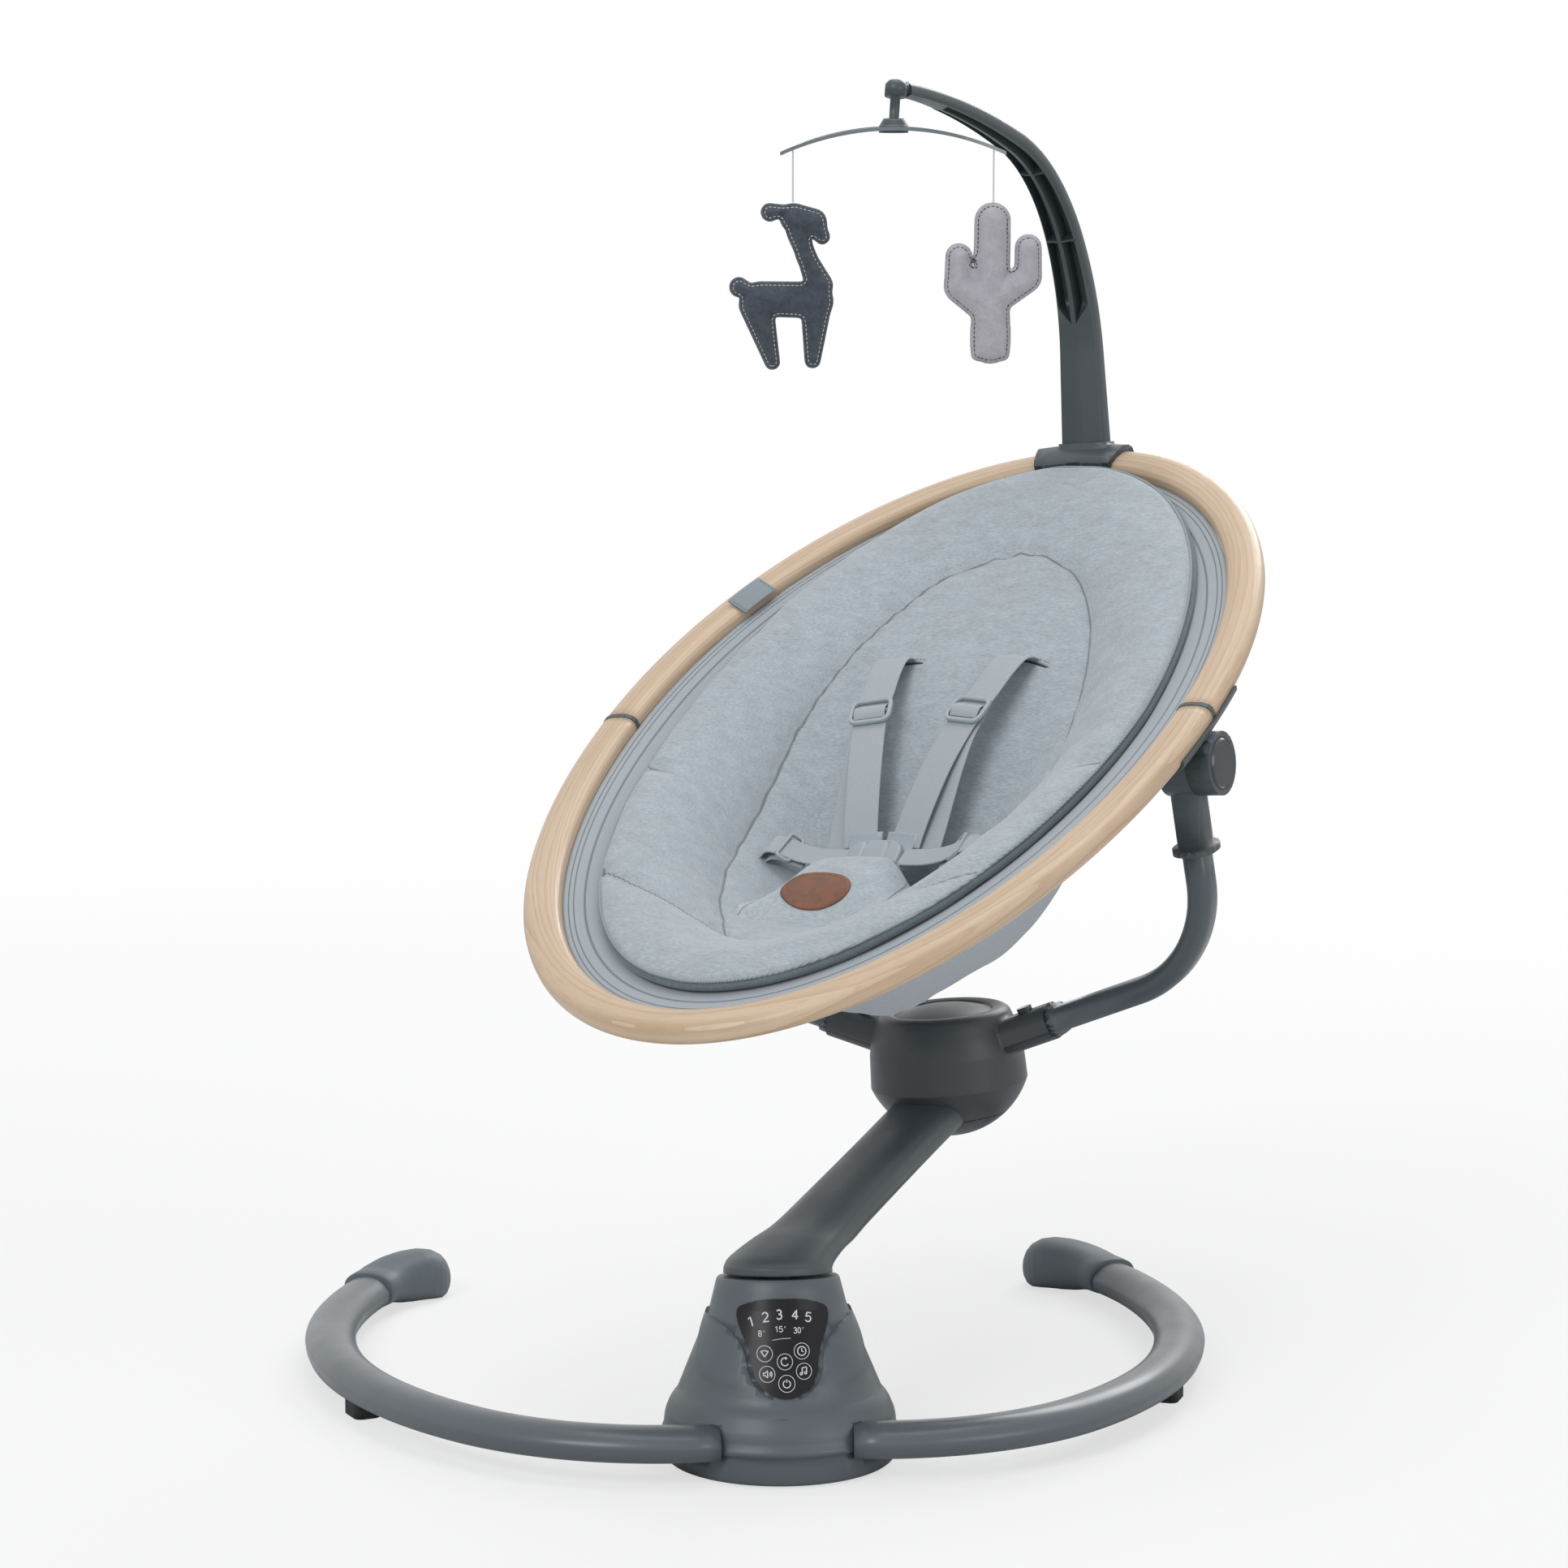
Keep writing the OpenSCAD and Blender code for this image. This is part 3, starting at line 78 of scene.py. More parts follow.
# %% Helpers for finishes
def colour(r, g, b):
    """An ordinary screen colour from 0 to 255 as the linear colour a shader wants."""
    return tuple((c / 12.92 if c <= 0.04045 else ((c + 0.055) / 1.055) ** 2.4)
                 for c in (r / 255, g / 255, b / 255)) + (1,)

class Finish:
    """A material under construction: its node tree, its shader and short ways to add nodes."""
    def __init__(self, name):
        self.material = bpy.data.materials.new(name)
        self.material.use_nodes = True
        self.tree = self.material.node_tree
        self.shader = self.tree.nodes["Principled BSDF"]

    def add(self, kind, settings=None, **sockets):
        node = self.tree.nodes.new("ShaderNode" + kind)
        for key, value in (settings or {}).items():
            setattr(node, key, value)
        for key, value in sockets.items():
            self.put(node, key.replace("_", " "), value)
        return node

    def put(self, node, socket, value):
        target = node.inputs[int(socket)] if socket.isdigit() else node.inputs[socket]
        if isinstance(value, bpy.types.NodeSocket):
            self.tree.links.new(value, target)
        else:
            target.default_value = value

    def math(self, operation, a, b=0.0, c=0.0):
        node = self.add("Math", {"operation": operation})
        for i, value in enumerate((a, b, c)):
            self.put(node, str(i), value)
        return node.outputs[0]

    def place(self, scale=(1, 1, 1), turn=(0, 0, 0)):
        """Object coordinates, turned and stretched: metres on the real object."""
        where = self.add("TexCoord").outputs["Object"]
        return self.add("Mapping", Vector=where, Rotation=turn, Scale=scale).outputs[0]

    def noise(self, vector, scale, detail=2.0, rough=0.5, distortion=0.0):
        node = self.add("TexNoise", Vector=vector, Scale=scale, Detail=detail,
                        Roughness=rough, Distortion=distortion)
        return node.outputs["Fac"]

    def blend(self, factor, dark, light):
        ramp = self.add("ValToRGB", Fac=factor)
        ramp.color_ramp.elements[0].color, ramp.color_ramp.elements[1].color = dark, light
        ramp.color_ramp.elements[0].position, ramp.color_ramp.elements[1].position = 0.3, 0.7
        return ramp.outputs[0]

    def range(self, value, low, high, start=0.3, end=0.7):
        return self.add("MapRange", **{"Value": value, "From_Min": start, "From_Max": end,
                                       "To_Min": low, "To_Max": high}).outputs[0]

    def set(self, **sockets):
        for key, value in sockets.items():
            self.put(self.shader, key.replace("_", " "), value)
        return self

    def bump(self, height, depth, strength):
        node = self.add("Bump", Height=height, Distance=depth, Strength=strength)
        self.put(self.shader, "Normal", node.outputs[0])

    def vector(self, operation, *values):
        sockets = {str(i): value for i, value in enumerate(values)}
        return self.add("VectorMath", {"operation": operation}, **sockets).outputs

    def sum(self, *shares):
        """Values added up, each given with its share."""
        total = 0.0
        for value, share in shares:
            total = self.math("MULTIPLY_ADD", value, share, total)
        return total

    def mix(self, factor, first, second):
        node = self.add("Mix", {"data_type": "RGBA"}, Factor=factor)
        self.put(node, "6", first)
        self.put(node, "7", second)
        return node.outputs[2]

    def stretched(self, vector, *scale):
        return self.add("Mapping", Vector=vector, Scale=scale).outputs[0]

    def on_seat(self, where):
        """A vector of the scene turned into the seat's own frame."""
        return self.add("VectorRotate", {"rotation_type": "EULER_XYZ"}, Vector=where,
                        Rotation=tuple(seat_turn)).outputs[0]

    def seamed(self, base, height, seams, shade):
        """Lines pressed in where the named distances, carried by the piece, come near zero, their colour
        darkened there as painted shade in the crease.
        """
        for attribute, width in seams:
            gap = self.add("Attribute", {"attribute_name": attribute}).outputs["Fac"]
            line = self.range(self.math("ABSOLUTE", gap), 0.0, 1.0, 0.0, width)
            # painted shade: the colour is pulled towards the shade colour along each pressed-in line
            base = self.mix(line, shade, base)
            height = self.math("ADD", height, line)
        return base, height

def tint(rgb, share):
    return colour(*(max(0, min(255, c * share)) for c in rgb))

def moulded(name, rgb, rough=0.42, grain=1500, depth=0.00004, coat=0.0):
    """Injection moulded plastic: a fine spark-eroded grain, softly uneven gloss, faint colour drift."""
    f = Finish(name)
    here = f.place()
    drift = f.noise(here, 9, 3)
    fine = f.noise(here, grain, 2, 0.6)
    f.set(Base_Color=f.blend(drift, tint(rgb, 0.97), tint(rgb, 1.03)),
          Roughness=f.range(f.noise(here, 40, 4), rough - 0.04, rough + 0.05))
    f.set(Coat_Weight=coat, Coat_Roughness=0.12, IOR=1.47)
    f.bump(fine, depth, 0.5)
    return f.material

HOUSING = moulded("housing plastic", (87, 95, 100), 0.4)
LEG = moulded("leg plastic", (86, 94, 99), 0.34, 900, 0.00002, 0.15)
CAP = moulded("boot plastic", (96, 105, 110), 0.5, 1300)
ARM = moulded("arm plastic", (73, 81, 85), 0.4)
HUB = moulded("hub plastic", (66, 72, 76), 0.42)
ARCH = moulded("toy bar plastic", (66, 75, 78), 0.36)
TUBE = moulded("seat tube plastic", (80, 90, 95), 0.34, 900, 0.00002, 0.15)
BUTTON = moulded("button plastic", (52, 57, 61), 0.22, 900, 0.00001, 0.6)
RUBBER = moulded("foot rubber", (44, 47, 50), 0.75, 2200, 0.00006)
BUCKLE = moulded("buckle plastic", (163, 173, 179), 0.32, 1200, 0.00002, 0.2)
ACETAL = moulded("gear plastic", (196, 172, 120), 0.45)
NATURAL = moulded("bearing plastic", (214, 206, 192), 0.5)
MOBILE = moulded("mobile plastic", (112, 121, 126), 0.16, 600, 0.00001, 0.8)
print("moulded finishes:", len(bpy.data.materials))

# %% Metal and board inside the base
def metal(name, rgb, rough):
    """Drawn steel: long fine scratches round the part and a patchy sheen."""
    f = Finish(name)
    here = f.place((1, 1, 40))
    patchy = f.noise(here, 60, 4)
    f.set(Base_Color=colour(*rgb), Metallic=1.0, Roughness=f.range(patchy, rough, rough + 0.15))
    f.bump(f.noise(here, 900, 2), 0.00001, 0.4)
    return f.material

STEEL = metal("bright steel", (168, 172, 176), 0.25)
CAN = metal("motor steel", (140, 144, 148), 0.35)
BOARD = moulded("circuit board", (24, 84, 52), 0.4, 500)
print("steel and board ready")

# %% [markdown]
# The ring is pale beech, bent in two halves, so its grain runs round the ring. The pattern is
# turned into the seat's own frame, where the oval is flattened to a circle: distance from the
# middle runs across the grain and the turn round the middle runs along it. A finer noise
# gives the short dark flecks that beech shows, and thin lacquer gives it a satin sheen.

# %% Frames of the swinging parts
LEAN_Y, LEAN_Z = 0.156434, 0.987688      # the swing axis leans back by 9 degrees
SWING = Matrix.Rotation(math.radians(-34), 4, Vector((0, LEAN_Y, LEAN_Z)))
SLOPE = math.radians(24.5)
SEAT = SWING @ Matrix.Translation((0, 0.246, 0.444)) @ Matrix.Rotation(SLOPE, 4, "X")
RING_RATIO = 0.66              # width of the ring over its length
LINES_PER_METRE, LINE_SWAY = 300.0, 5.0
seat_turn = SEAT.to_3x3().inverted().to_euler("XYZ")
print("the seat slopes", round(math.degrees(SLOPE), 1), "degrees")

# %% Beech
def beech(name):
    f = Finish(name)
    centred = f.vector("SUBTRACT", f.add("TexCoord").outputs["Object"], tuple(SEAT.translation))[0]
    turned = f.on_seat(centred)
    flat = f.vector("MULTIPLY", turned, (1, RING_RATIO, 0))[0]
    outward = f.vector("LENGTH", flat)["Value"]
    sides = f.add("SeparateXYZ", Vector=f.vector("NORMALIZE", flat)[0])
    across = f.sum((f.add("SeparateXYZ", Vector=turned).outputs[2], 0.8), (outward, 1.0))
    def grain(stretch):
        return f.add("CombineXYZ", X=across, Y=f.math("MULTIPLY", sides.outputs[0], stretch),
                     Z=f.math("MULTIPLY", sides.outputs[1], stretch)).outputs[0]
    sway = f.noise(grain(0.016), 55, 2, 0.45, 0.2)
    edge = f.math("POWER", f.math("FRACT", f.sum((across, LINES_PER_METRE), (sway, LINE_SWAY))), 2.5)
    fleck = f.noise(grain(0.011), 1500, 3, 0.6)
    base = f.blend(f.noise(grain(0.02), 90, 4), colour(203, 176, 146), colour(216, 191, 164))
    lined = f.mix(f.math("MULTIPLY", edge, 0.38), base, colour(158, 126, 96))
    pored = f.mix(f.range(fleck, 0.0, 0.32, 0.52, 0.75), lined, colour(166, 134, 104))
    f.set(Base_Color=pored, Roughness=f.range(fleck, 0.36, 0.5), Coat_Weight=0.2, Coat_Roughness=0.25)
    f.bump(f.sum((edge, 0.5), (fleck, 1.0)), 0.00006, 0.5)
    return f.material

BEECH = beech("beech")

# %% [markdown]
# Four cloths: a soft melange knit on the cushion, a twill on the sling, ribbed webbing on the
# harness, and felt on the toys. A knit is thousands of tiny loops in yarns of slightly
# different greys, so its colour comes from a noise drawn out sideways and its bump from a
# fine one. Cloth also scatters light at grazing angles, which the sheen gives.

# %% Knit of the cushion
def knit(name, rgb, seams=()):
    f = Finish(name)
    turned = f.on_seat(f.add("TexCoord").outputs["Object"])
    yarn = f.noise(f.stretched(turned, 0.22, 1, 1), 1100, 3, 0.65)
    blotch = f.noise(f.stretched(turned, 0.5, 1, 1), 130, 4, 0.6)
    base = f.blend(f.sum((yarn, 0.7), (blotch, 0.3)), tint(rgb, 0.86), tint(rgb, 1.12))
    # tint(rgb, 0.66) is the painted shade of the pressed-in seams, channels and hems
    base, height = f.seamed(base, f.math("MULTIPLY", yarn, 0.4), seams, tint(rgb, 0.66))
    f.set(Base_Color=base, Roughness=0.92, Sheen_Weight=0.35, Sheen_Roughness=0.45)
    f.bump(height, 0.0005, 0.6)
    return f.material

KNIT = knit("cushion knit", (170, 179, 185), (("seam", 0.0011), ("channel", 0.0010)))
WALL = knit("cushion side knit", (108, 122, 129))
PAD = knit("crotch pad knit", (176, 185, 191), (("hem", 0.0007),))

# %% Twill of the sling
RIBS_PER_METRE = 1150 / 6.283
def twill(name, rgb, seams=()):
    f = Finish(name)
    turned = f.on_seat(f.add("TexCoord").outputs["Object"])
    diagonal = f.add("Mapping", Vector=turned, Rotation=(0, 0, math.radians(38))).outputs[0]
    rib = f.add("TexWave", {"wave_type": "BANDS", "bands_direction": "X"}, Vector=diagonal,
                Scale=RIBS_PER_METRE, Distortion=1.2, Detail=2.0, Detail_Scale=2.0).outputs["Fac"]
    yarn = f.noise(turned, 1400, 2, 0.6)
    base = f.blend(f.sum((rib, 0.55), (yarn, 0.45)), tint(rgb, 0.88), tint(rgb, 1.08))
    # tint(rgb, 0.62) is the painted shade of the pressed-in hems
    base, height = f.seamed(base, f.sum((rib, 0.3), (yarn, 0.2)), seams, tint(rgb, 0.62))
    f.set(Base_Color=base, Roughness=0.88, Sheen_Weight=0.25, Sheen_Roughness=0.5)
    f.bump(height, 0.0004, 0.6)
    return f.material

TWILL = twill("sling twill", (172, 181, 188), (("hem_1", 0.0008), ("hem_2", 0.0008), ("hem_3", 0.0013)))
BINDING = twill("sling binding", (150, 160, 167))

# %% Webbing: its ribs follow the strap, so they come from the strap's own map in metres
def webbing(name, rgb):
    f = Finish(name)
    split = f.add("SeparateXYZ", Vector=f.add("UVMap", {"uv_map": "cloth"}).outputs[0])
    across, along = split.outputs[0], split.outputs[1]
    rib = f.math("ABSOLUTE", f.math("SINE", f.math("MULTIPLY", along, 3300.0)))
    column = f.math("ABSOLUTE", f.math("SINE", f.math("MULTIPLY", across, 2600.0)))
    edge = f.range(f.math("ABSOLUTE", across), 1.0, 0.0, 0.0085, 0.0092)
    weave = f.sum((rib, 0.7), (column, 0.3))
    f.set(Base_Color=f.blend(weave, tint(rgb, 0.84), tint(rgb, 1.06)), Roughness=0.72, Sheen_Weight=0.2)
    f.bump(f.sum((edge, 0.6), (weave, 1.0)), 0.00025, 0.6)
    return f.material

WEBBING = webbing("harness webbing", (170, 178, 184))

# %% Felt, leather, string and a bare tag
def felt(name, dark, light):
    """Pressed fibres: short hairs that lie every way, from a strongly distorted noise."""
    f = Finish(name)
    here = f.place()
    hair = f.noise(here, 700, 5, 0.75, 1.5)
    tuft = f.noise(here, 160, 4, 0.6)
    f.set(Base_Color=f.blend(f.sum((hair, 0.6), (tuft, 0.4)), colour(*dark), colour(*light)),
          Roughness=0.97, Sheen_Weight=0.5, Sheen_Roughness=0.4)
    f.bump(f.math("ADD", hair, tuft), 0.0006, 0.6)
    return f.material

FELT_DARK = felt("dark felt", (44, 49, 58), (88, 97, 108))
FELT_LIGHT = felt("light felt", (158, 156, 164), (196, 194, 200))

def leather(name, rgb):
    f = Finish(name)
    here = f.place()
    cells = f.add("TexVoronoi", {"feature": "DISTANCE_TO_EDGE"}, Vector=here, Scale=1500.0)
    crease = f.range(cells.outputs["Distance"], 0.0, 1.0, 0.0, 0.15)
    patina = f.noise(here, 120, 5, 0.6)
    f.set(Base_Color=f.blend(patina, tint(rgb, 0.82), tint(rgb, 1.14)),
          Roughness=f.range(patina, 0.42, 0.6), Coat_Weight=0.08, Coat_Roughness=0.4)
    f.bump(f.sum((patina, 0.8), (crease, 1.0)), 0.00012, 0.6)
    return f.material

LEATHER = leather("brown leather", (122, 78, 52))
TAG = moulded("bare tag", (134, 146, 152), 0.6, 2400, 0.00004)

def thread(name, rgb):
    f = Finish(name)
    here = f.place((1, 1, 1), (0.5, 0.3, 0))
    twist = f.add("TexWave", {"wave_type": "BANDS", "bands_direction": "Z"}, Vector=here,
                  Scale=420.0, Distortion=0.5).outputs["Fac"]
    f.set(Base_Color=f.blend(twist, tint(rgb, 0.85), colour(*rgb)), Roughness=0.7, Sheen_Weight=0.3)
    f.bump(twist, 0.00015, 0.6)
    return f.material

STRING = thread("mobile string", (226, 232, 232))
WHITE_THREAD = thread("white thread", (214, 216, 220))
DARK_THREAD_AND_SLOT_SHADOW = thread("dark thread and slot shadow", (34, 35, 40))
TAN_THREAD = thread("tan thread", (176, 122, 84))
GREY_THREAD = thread("grey thread", (120, 132, 140))

# %% Panel: gloss over black, and a print that shines a little less
def gloss_panel(name, rgb, rough):
    f = Finish(name)
    here = f.place()
    f.set(Base_Color=f.blend(f.noise(here, 25, 2), tint(rgb, 0.9), tint(rgb, 1.1)),
          Roughness=f.range(f.noise(here, 60, 3), rough, rough + 0.05), Specular_IOR_Level=0.22,
          Coat_Weight=0.05, Coat_Roughness=0.1)
    f.bump(f.noise(here, 300, 1), 0.000005, 0.3)
    return f.material

PANEL = gloss_panel("panel gloss", (22, 22, 26), 0.3)
PRINT = moulded("panel print", (216, 218, 222), 0.45, 3000, 0.00001)
print("finishes in all:", len(bpy.data.materials))

# %% [markdown]
# Nearly every new piece is a skin over rows of points: a section carried along a path. The
# grid operator gives the faces, the rows give the places, and a map in metres is kept for
# cloth. Finished pieces stay at the origin, with their place in their mesh.

# %% Helpers for shapes
def keep(name, bm, material, body, smooth=True, nodes=()):
    mesh = bpy.data.meshes.new(name)
    bm.to_mesh(mesh)
    bm.free()
    piece = bpy.data.objects.new(name, mesh)
    bpy.context.scene.collection.objects.link(piece)
    for m in material if isinstance(material, (list, tuple)) else [material]:
        mesh.materials.append(m)
    if smooth:
        mesh.shade_smooth()
    if body:
        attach(piece, body)
    if nodes:
        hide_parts(*nodes)
    return piece

def running(points):
    """The length of a line of points up to each of them."""
    lengths = [0.0]
    for a, b in zip(points, points[1:]):
        lengths.append(lengths[-1] + (Vector(b) - Vector(a)).length)
    return lengths

def skin(rows, caps=True):
    """A bmesh skinned over closed rows of points, with a map in metres along and round it."""
    m, n = len(rows), len(rows[0])
    bm = bmesh.new()
    bmesh.ops.create_grid(bm, x_segments=n, y_segments=m - 1, size=1)
    uv = bm.loops.layers.uv.new("cloth")
    place = {v: (round((v.co.y + 1) / 2 * (m - 1)), round((v.co.x + 1) / 2 * n)) for v in bm.verts}
    length = running([row[0] for row in rows])
    around = running([*rows[m // 2], rows[m // 2][0]])
    for face in bm.faces:
        for loop in face.loops:
            i, j = place[loop.vert]
            loop[uv].uv = (around[j] - around[-1] / 2, length[i])
    for v, (i, j) in place.items():
        v.co = rows[i][j % n]
    bmesh.ops.remove_doubles(bm, verts=bm.verts, dist=1e-6)
    if caps:
        bmesh.ops.holes_fill(bm, edges=[e for e in bm.edges if e.is_boundary], sides=0)
    bmesh.ops.recalc_face_normals(bm, faces=bm.faces)
    return bm

def take_in(bm, part):
    """Moves the faces of one bmesh into another and frees the first."""
    mesh = bpy.data.meshes.new("part")
    part.to_mesh(mesh)
    part.free()
    bm.from_mesh(mesh)
    bpy.data.meshes.remove(mesh)

def tree_of(mesh):
    return BVHTree.FromPolygons([v.co for v in mesh.vertices], [p.vertices for p in mesh.polygons])

def carry(mesh, name, values):
    """Gives each point of a mesh a value, in metres, that its material can read."""
    layer = mesh.attributes.new(name, "FLOAT", "POINT")
    layer.data.foreach_set("value", np.asarray(values, dtype=np.float32))

def curve_through(points, count):
    """Points spaced evenly by number along a smooth curve through the given ones."""
    p = np.array([tuple(q) for q in points], float)
    p = np.vstack([2 * p[0] - p[1], p, 2 * p[-1] - p[-2]])
    out = []
    for t in np.linspace(0, len(points) - 1, count):
        k = min(int(t), len(points) - 2)
        u, a, b, c, d = t - k, p[k], p[k + 1], p[k + 2], p[k + 3]
        out.append(0.5 * (2 * b + (c - a) * u + (2 * a - 5 * b + 4 * c - d) * u * u
                          + (3 * b - 3 * c + d - a) * u ** 3))
    return [Vector(q) for q in out]

def bent(c, power):
    """A cosine or sine bent so that a circle becomes a superellipse."""
    return math.copysign(abs(c) ** (2 / power), c)

def superellipse(half_u, half_v, power, count):
    turns = [2 * math.pi * k / count for k in range(count)]
    return [(half_u * bent(math.cos(a), power), half_v * bent(math.sin(a), power)) for a in turns]

def sweep(path, section, up, closed=False):
    """Rows of a section carried along a path. Its first number runs sideways, its second along up."""
    rows, n = [], len(path)
    for i, p in enumerate(path):
        a = path[(i - 1) % n] if closed else path[max(i - 1, 0)]
        b = path[(i + 1) % n] if closed else path[min(i + 1, n - 1)]
        d = (b - a).normalized()
        u = (up[i] if isinstance(up, list) else up)
        side = d.cross(u).normalized()
        top = side.cross(d).normalized()
        shape = section(i / (n - 1)) if callable(section) else section
        rows.append([p + side * x + top * y for x, y in shape])
    if closed:
        rows.append(rows[0])
    return rows

def seat_point(x, y, z):
    """A point of the seat's frame, given in millimetres, in metres of the swing's frame."""
    return SEAT @ Vector((x / 1000, y / 1000, z / 1000))

SEAT_UP = (SEAT.to_3x3() @ Vector((0, 0, 1))).normalized()
SIDES = ((1, "right"), (-1, "left"))

def swung_point(x, y, z):
    return SWING @ Vector((x / 1000, y / 1000, z / 1000))

def stitches(name, path, material, body, length=0.0022, gap=0.0013, radius=0.000196, closed=False):
    """Short round stitches along a path, joined in one piece."""
    loop = path + [path[0]] if closed else path
    lengths = running(loop)
    bm, at = bmesh.new(), 0.0
    while at + length < lengths[-1]:
        ends = []
        for s in (at, at + length):
            k = max(0, min(int(np.searchsorted(lengths, s)) - 1, len(loop) - 2))
            share = (s - lengths[k]) / max(1e-9, lengths[k + 1] - lengths[k])
            ends.append(loop[k].lerp(loop[k + 1], share))
        a, b = ends
        turn = (b - a).to_track_quat("Z", "Y").to_matrix().to_4x4()
        bmesh.ops.create_cone(bm, cap_ends=True, segments=6, radius1=radius, radius2=radius,
                              depth=(b - a).length, matrix=Matrix.Translation((a + b) / 2) @ turn)
        at += length + gap
    return keep(name, bm, material, body)

print("shape helpers ready")

# %% [markdown]
# The mobile's strings are real cords: thin white thread, 35 mm of it from the bar to each toy.
# They are curves of one open spline, with their true length and thickness.

# %% Strings of the mobile
STRING_TOP, STRING_Y, STRING_LENGTH, STRING_THICK = 0.829724, 0.280713, 0.035, 0.0012
LLAMA_X, CACTUS_X = 0.0292243, 0.166024
def string(name, x, node, body):
    points = [Vector((x, STRING_Y, STRING_TOP - STRING_LENGTH * k / 19)) for k in range(20)]
    data = bpy.data.curves.new(name, "CURVE")
    data.dimensions, data.bevel_depth, data.bevel_resolution = "3D", STRING_THICK / 2, 3
    spline = data.splines.new("POLY")
    spline.points.add(len(points) - 1)
    for p, q in zip(spline.points, points):
        p.co = (*q, 1)
    data.materials.append(STRING)
    piece = bpy.data.objects.new(name, data)
    bpy.context.scene.collection.objects.link(piece)
    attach(piece, body)
    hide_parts(node)

string("left_toy_string", LLAMA_X, "string_left", "llama")
string("right_toy_string", CACTUS_X, "string_right", "cactus")
print("two strings of 35 mm")

# %% [markdown]
# The rigid solids keep their CAD shapes and take a finish each.

# %% Finishes on the CAD solids
for material, nodes in {
    HOUSING: ("base_tray", "base_housing"),
    CAP: ("leg_cap_left", "leg_cap_right"),
    RUBBER: ("mid_feet", "base_pads"),
    ARM: ("pivot_housing_left", "pivot_housing_right", "seat_bracket_left", "seat_bracket_right",
          "ring_bands", "arm_shell", "arm_rear_cover"),
    HUB: ("hub_bowl", "hub_band", "hub_cap", "hub_dome"),
    TUBE: ("seat_tube_left", "seat_tube_right"),
    LEG: ("leg_left", "leg_right"),
    ARCH: ("toybar_socket", "toybar_arch", "toybar_pin", "mobile_hub"),
    BUTTON: ("snap_button_left", "snap_button_right", "recline_button_left", "recline_button_right",
             "dc_inlet"),
    PANEL: ("control_panel",),
    BOARD: ("control_board",),
    STEEL: ("base_screws", "drive_shaft"),
    CAN: ("drive_motor",),
    ACETAL: ("motor_pinion", "swing_gear"),
    NATURAL: ("lower_bearing", "upper_bearing"),
    MOBILE: ("mobile_bar",),
    BEECH: ("ring_upper", "ring_lower"),
}.items():
    for node in nodes:
        mesh = frame["nodes"][node].data
        if not mesh.materials:
            mesh.materials.append(material)
        for k in range(len(mesh.materials)):
            mesh.materials[k] = material
print("rigid nodes finished")

# %% [markdown]
# Where a rounded form is built of many narrow rings, as on the base and the hub, the solid
# shows a faint step at each ring. A merged copy of it, smooth up to a certain angle, stands
# for the node there: the shape is the same, and only the shading flows.

# %% Smoothly shaded copies
BODY_OF = {node: body for body, nodes in frame["record"]["behaviour"]["bodies"].items() for node in nodes}
def flowing(node):
    mesh = frame["nodes"][node].data
    bm = bmesh.new()
    bm.from_mesh(mesh)
    bmesh.ops.remove_doubles(bm, verts=bm.verts, dist=2e-6)
    piece = keep(node + "_form", bm, mesh.materials[0], BODY_OF[node], nodes=(node,))
    piece.data.set_sharp_from_angle(angle=math.radians(32))

for node in ("base_tray", "base_housing", "hub_bowl", "hub_band", "hub_cap", "hub_dome", "seat_tube_left",
             "seat_tube_right", "pivot_housing_left", "pivot_housing_right", "seat_bracket_left",
             "seat_bracket_right", "toybar_socket", "toybar_pin", "mobile_hub", "mobile_bar", "mid_feet"):
    flowing(node)
print("smoothly shaded copies made")

# %% [markdown]
# The legs are two long bent tubes with a domed top and a flat underside. In the solid they are
# straight stretches between stations; here the same section runs through many more places,
# with its corners rounded, so that the highlight flows along them without facets.

# %% Legs
LEG_START, LEG_HEAD, LEG_R1, LEG_R2 = (60.0, -54.0), -3.0, 184.0, 313.0
LEG_TURN_1, LEG_TURN_2, BOOT_R, LEG_SUNK = 47, 72, 55, 17
def bend_end(p, heading, radius, turn):
    a, b = math.radians(heading), math.radians(heading + turn)
    return (p[0] + radius * (math.sin(b) - math.sin(a)), p[1] + radius * (math.cos(a) - math.cos(b)))

def settled(p, z):
    back = max(0.0, p[1] - LEG_START[1])
    return (p[0], p[1] + 0.072 * back, z - 0.0215 * back)

MID_HEAD, END_HEAD = LEG_HEAD + LEG_TURN_1, LEG_HEAD + LEG_TURN_1 + LEG_TURN_2
LEG_MID = bend_end(LEG_START, LEG_HEAD, LEG_R1, LEG_TURN_1)
LEG_END = bend_end(LEG_MID, MID_HEAD, LEG_R2, LEG_TURN_2)

def leg_point(side, place, heading, z, u, v):
    """A point of a section that is u across and v above z, where the leg has this heading."""
    c, s = math.cos(math.radians(heading)), math.sin(math.radians(heading))
    px, py, pz = settled(place, z)
    return Vector((side * (px - s * u), py + c * u, pz + v)) / 1000

def leg_section():
    """A domed top over a flatter bottom, its corners rounded by a bevel of the outline."""
    points = [(-12.0, -9.0), (12.0, -9.0), (15.2, -7.0), (16.9, -3.0)]
    points += [(17.5 * math.cos(math.radians(a)) * (1 - 0.06 * math.sin(math.radians(2 * a)) ** 2),
                12.0 * math.sin(math.radians(a)) ** 0.9) for a in range(4, 90, 8)]
    points += [(0.0, 12.0)]
    half = points[1:]
    return half + [(-x, y) for x, y in reversed(half[:-1])]

